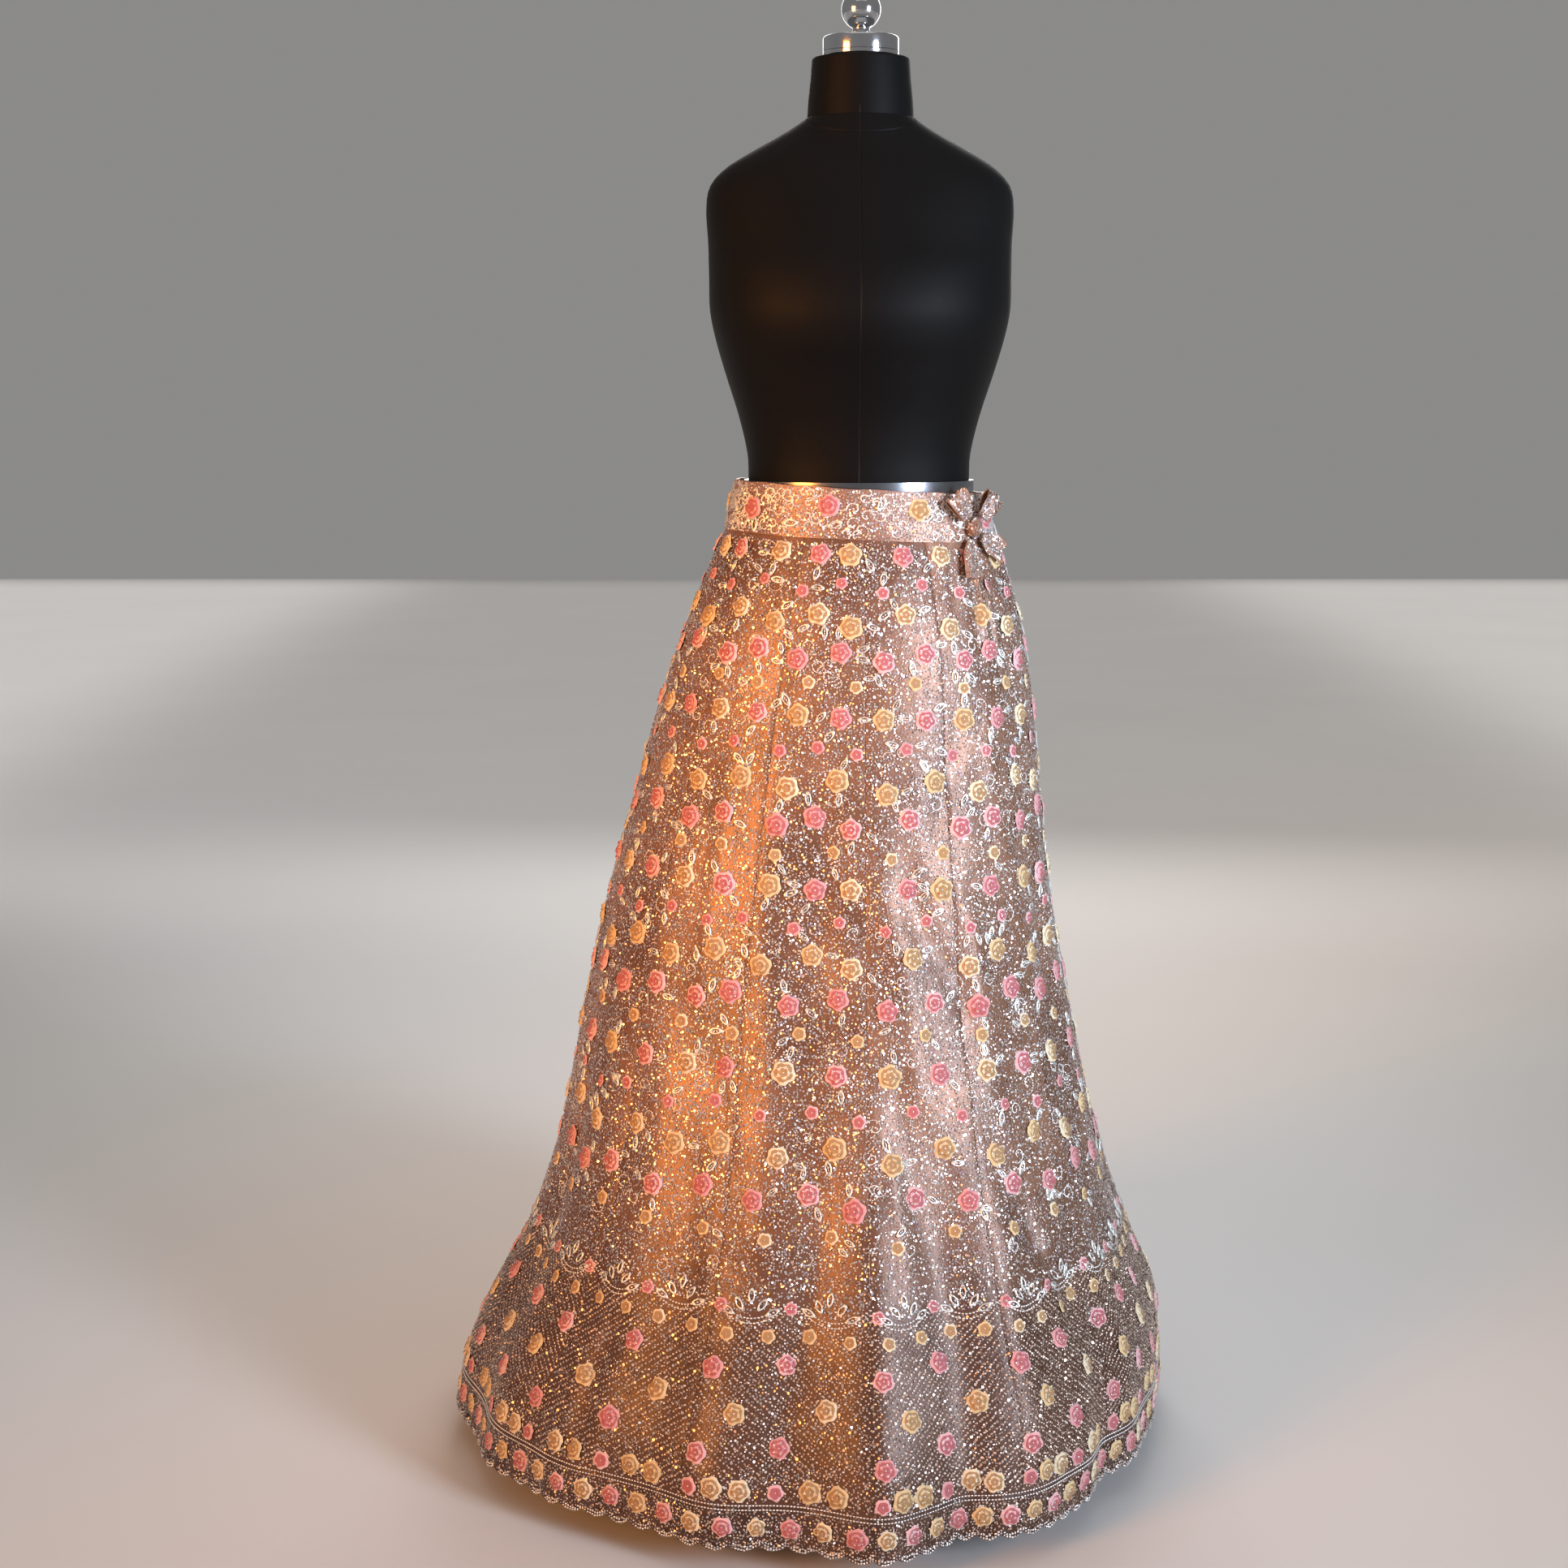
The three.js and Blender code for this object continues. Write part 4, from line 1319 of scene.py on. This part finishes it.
def turned(name, node, outline, material, slot="bright_metal"):
    """A piece turned on a lathe: its outline in (radius, height), spun about the axis."""
    start_clean()
    bpy.ops.mesh.primitive_plane_add(size=0.01)
    piece = named(name, material)
    edit()
    bpy.ops.mesh.delete(type="VERT")
    mesh = bmesh.from_edit_mesh(piece.data)
    corners = [mesh.verts.new((radius, 0, height)) for radius, height in outline]
    for one, two in zip(corners, corners[1:]):
        mesh.edges.new((one, two))
    bmesh.update_edit_mesh(piece.data)
    bpy.ops.mesh.select_all(action="SELECT")
    bpy.ops.mesh.spin(steps=AROUND, angle=2 * math.pi, center=(0, 0, 0), axis=(0, 0, 1))
    bpy.ops.mesh.select_all(action="SELECT")
    bpy.ops.mesh.remove_doubles(threshold=0.00001)
    close_up(35)
    hang(piece, slot, node)


def rounded(radius, low, high, edge, steps=4):
    """The lower and the upper rounded corner of a turned piece, each from low to high."""
    arc = np.linspace(0, math.pi / 2, steps + 1)
    lower = [(radius - edge + edge * math.sin(a), low + edge - edge * math.cos(a)) for a in arc]
    upper = [(radius - edge + edge * math.cos(a), high - edge + edge * math.sin(a)) for a in arc]
    return lower, upper


WAIST_RING = (0, -0.002, 1.04515)


def make_form():
    loft("form_torso_cover", "form_torso", TORSO, 56)
    loft("form_hips_cover", "form_hips", HIPS, 26)
    _, upper = rounded(0.0511, 1.484, 1.493, 0.0025)
    turned("form_neck_cover", "form_neck", [
        (0, 1.4323), (0.056, 1.4323), (0.0548, 1.45), (0.0524, 1.472), *upper, (0, 1.493),
    ], JERSEY, "form_cover")
    start_clean()
    bpy.ops.mesh.primitive_cylinder_add(vertices=AROUND, radius=1, depth=0.0263, location=WAIST_RING)
    ring = named("form_waist_band_ring", SMOKED)
    edit()
    scale_by(0.123, 0.095, 1, WAIST_RING)
    pick(lambda f: abs(f.normal.z) > 0.9, "faces")
    bpy.ops.mesh.inset(thickness=0.004)
    pick(lambda e: len(e.link_faces) == 2 and e.calc_face_angle(0) > 1, "edges")
    bpy.ops.mesh.bevel(offset=0.0018, segments=3, affect="EDGES")
    bpy.ops.object.mode_set(mode="OBJECT")
    bpy.ops.object.transform_apply(location=True, rotation=True, scale=True)
    smooth_below(35)
    hang(ring, "bright_metal", "form_waist_ring")
    lower, upper = rounded(0.0395, 1.4933, 1.515, 0.0028)
    turned("neck_cap_turned", "neck_cap", [
        (0, 1.4933), *lower, (0.0395, 1.4985), (0.0387, 1.4992), (0.0395, 1.4999),
        *upper, (0.018, 1.5152), (0, 1.5152),
    ], CHROME)
    ball = [
        (0.0205 * math.sin(a), 1.542 - 0.0205 * math.cos(a))
        for a in np.linspace(math.asin(0.44), math.pi, 28)
    ]
    turned("neck_finial_turned", "neck_finial", [
        (0, 1.5153), (0.0142, 1.5153), (0.015, 1.516), (0.015, 1.5175), (0.0142, 1.5183),
        (0.0095, 1.5195), (0.0088, 1.5215), *ball[:-1], (0, ball[-1][1]),
    ], CHROME)


def make_stand():
    turned("stand_base_disc", "stand_base", [
        (0, 0), (0.1635, 0), (0.165, 0.0015), (0.165, 0.0068), (0.1636, 0.0086), (0.16, 0.01),
        (0.1, 0.0132), (0.05, 0.0158), (0.042, 0.017), (0.036, 0.0205), (0.0305, 0.028),
        (0.0275, 0.0365), (0.026, 0.0392), (0.0235, 0.04), (0, 0.04),
    ], STAND, "stand_paint")
    lower, upper = rounded(0.014, 0.0403, 0.7157, 0.001, 2)
    turned("stand_pole_tube", "stand_pole", [(0, 0.0403), *lower, *upper, (0, 0.7157)], CHROME)
    lower, upper = rounded(0.024, 0.716, 0.7617, 0.002, 3)
    turned("stand_collar_turned", "stand_collar", [
        (0, 0.716), *lower, (0.024, 0.728), (0.0232, 0.7288), (0.024, 0.7296), *upper, (0, 0.7617),
    ], STAND, "stand_paint")


make_form()
make_stand()


# --- floor, light and camera ---


FLOOR, WASH_DEPTH, WASH_HEIGHT, WASH_POWER = 24, 9.4, 4.4, 190
LOOK_DOWN = 9.6

start_clean()
bpy.ops.mesh.primitive_plane_add(size=FLOOR, location=(0, 0, 0))
named("studio_floor", floor_finish())
bpy.ops.object.transform_apply(location=True, rotation=True, scale=True)


def soft_light(name, place, aim, width, height, power, colour, spread=180):
    """A soft panel of light, in watts, aimed at a point."""
    light = bpy.data.lights.new(name, "AREA")
    light.shape, light.size, light.size_y = "RECTANGLE", width, height
    light.energy, light.color, light.spread = power, colour, math.radians(spread)
    lamp = bpy.data.objects.new(name, light)
    bpy.context.collection.objects.link(lamp)
    lamp.location = place
    lamp.rotation_euler = (Vector(aim) - Vector(place)).to_track_quat("-Z", "Y").to_euler()


soft_light("warm_key", (-2.3, -2.2, 1.45), (0, 0, 1.02), 1.0, 1.4, 15, (1.0, 0.37, 0.06), 60)
soft_light("cool_key", (2.3, -2.3, 1.45), (0, 0, 0.98), 0.8, 1.3, 19.5, (0.74, 0.84, 1.0), 64)
soft_light("top_soft", (0, -0.6, 3.4), (0, 0, 0.6), 2.2, 2.2, 8, (1, 0.96, 0.9))
soft_light("back_soft", (0.3, 2.8, 2.0), (0, 0, 0.8), 2.0, 1.6, 40, (1, 0.98, 0.96))

# narrow beams straight down on the far floor, so that it is pale and the skirt isn't lit by them
for side, (x, y) in enumerate(((0, 7.2), (7.2, 0), (0, -7.2), (-7.2, 0))):
    wide, deep = (FLOOR, WASH_DEPTH) if x == 0 else (WASH_DEPTH, FLOOR)
    above, below = (x, y, WASH_HEIGHT), (x, y, 0)
    soft_light(f"floor_wash_{side + 1}", above, below, wide, deep, WASH_POWER, (1, 0.99, 0.98), 20)

world = bpy.data.worlds.new("studio_air")
bpy.context.scene.world = world
world.use_nodes = True
air = world.node_tree.nodes["Background"].inputs
air["Color"].default_value, air["Strength"].default_value = (0.86, 0.85, 0.84, 1), 0.3

eye = bpy.data.objects.new("camera", bpy.data.cameras.new("camera"))
bpy.context.collection.objects.link(eye)
eye.location = (-0.08, -2.5, 1.15)
eye.rotation_euler = (math.radians(90 - LOOK_DOWN), 0, 0)
eye.data.lens, eye.data.sensor_width = 53.1, 36
bpy.context.scene.camera = eye
bpy.context.scene.view_settings.view_transform = "Standard"
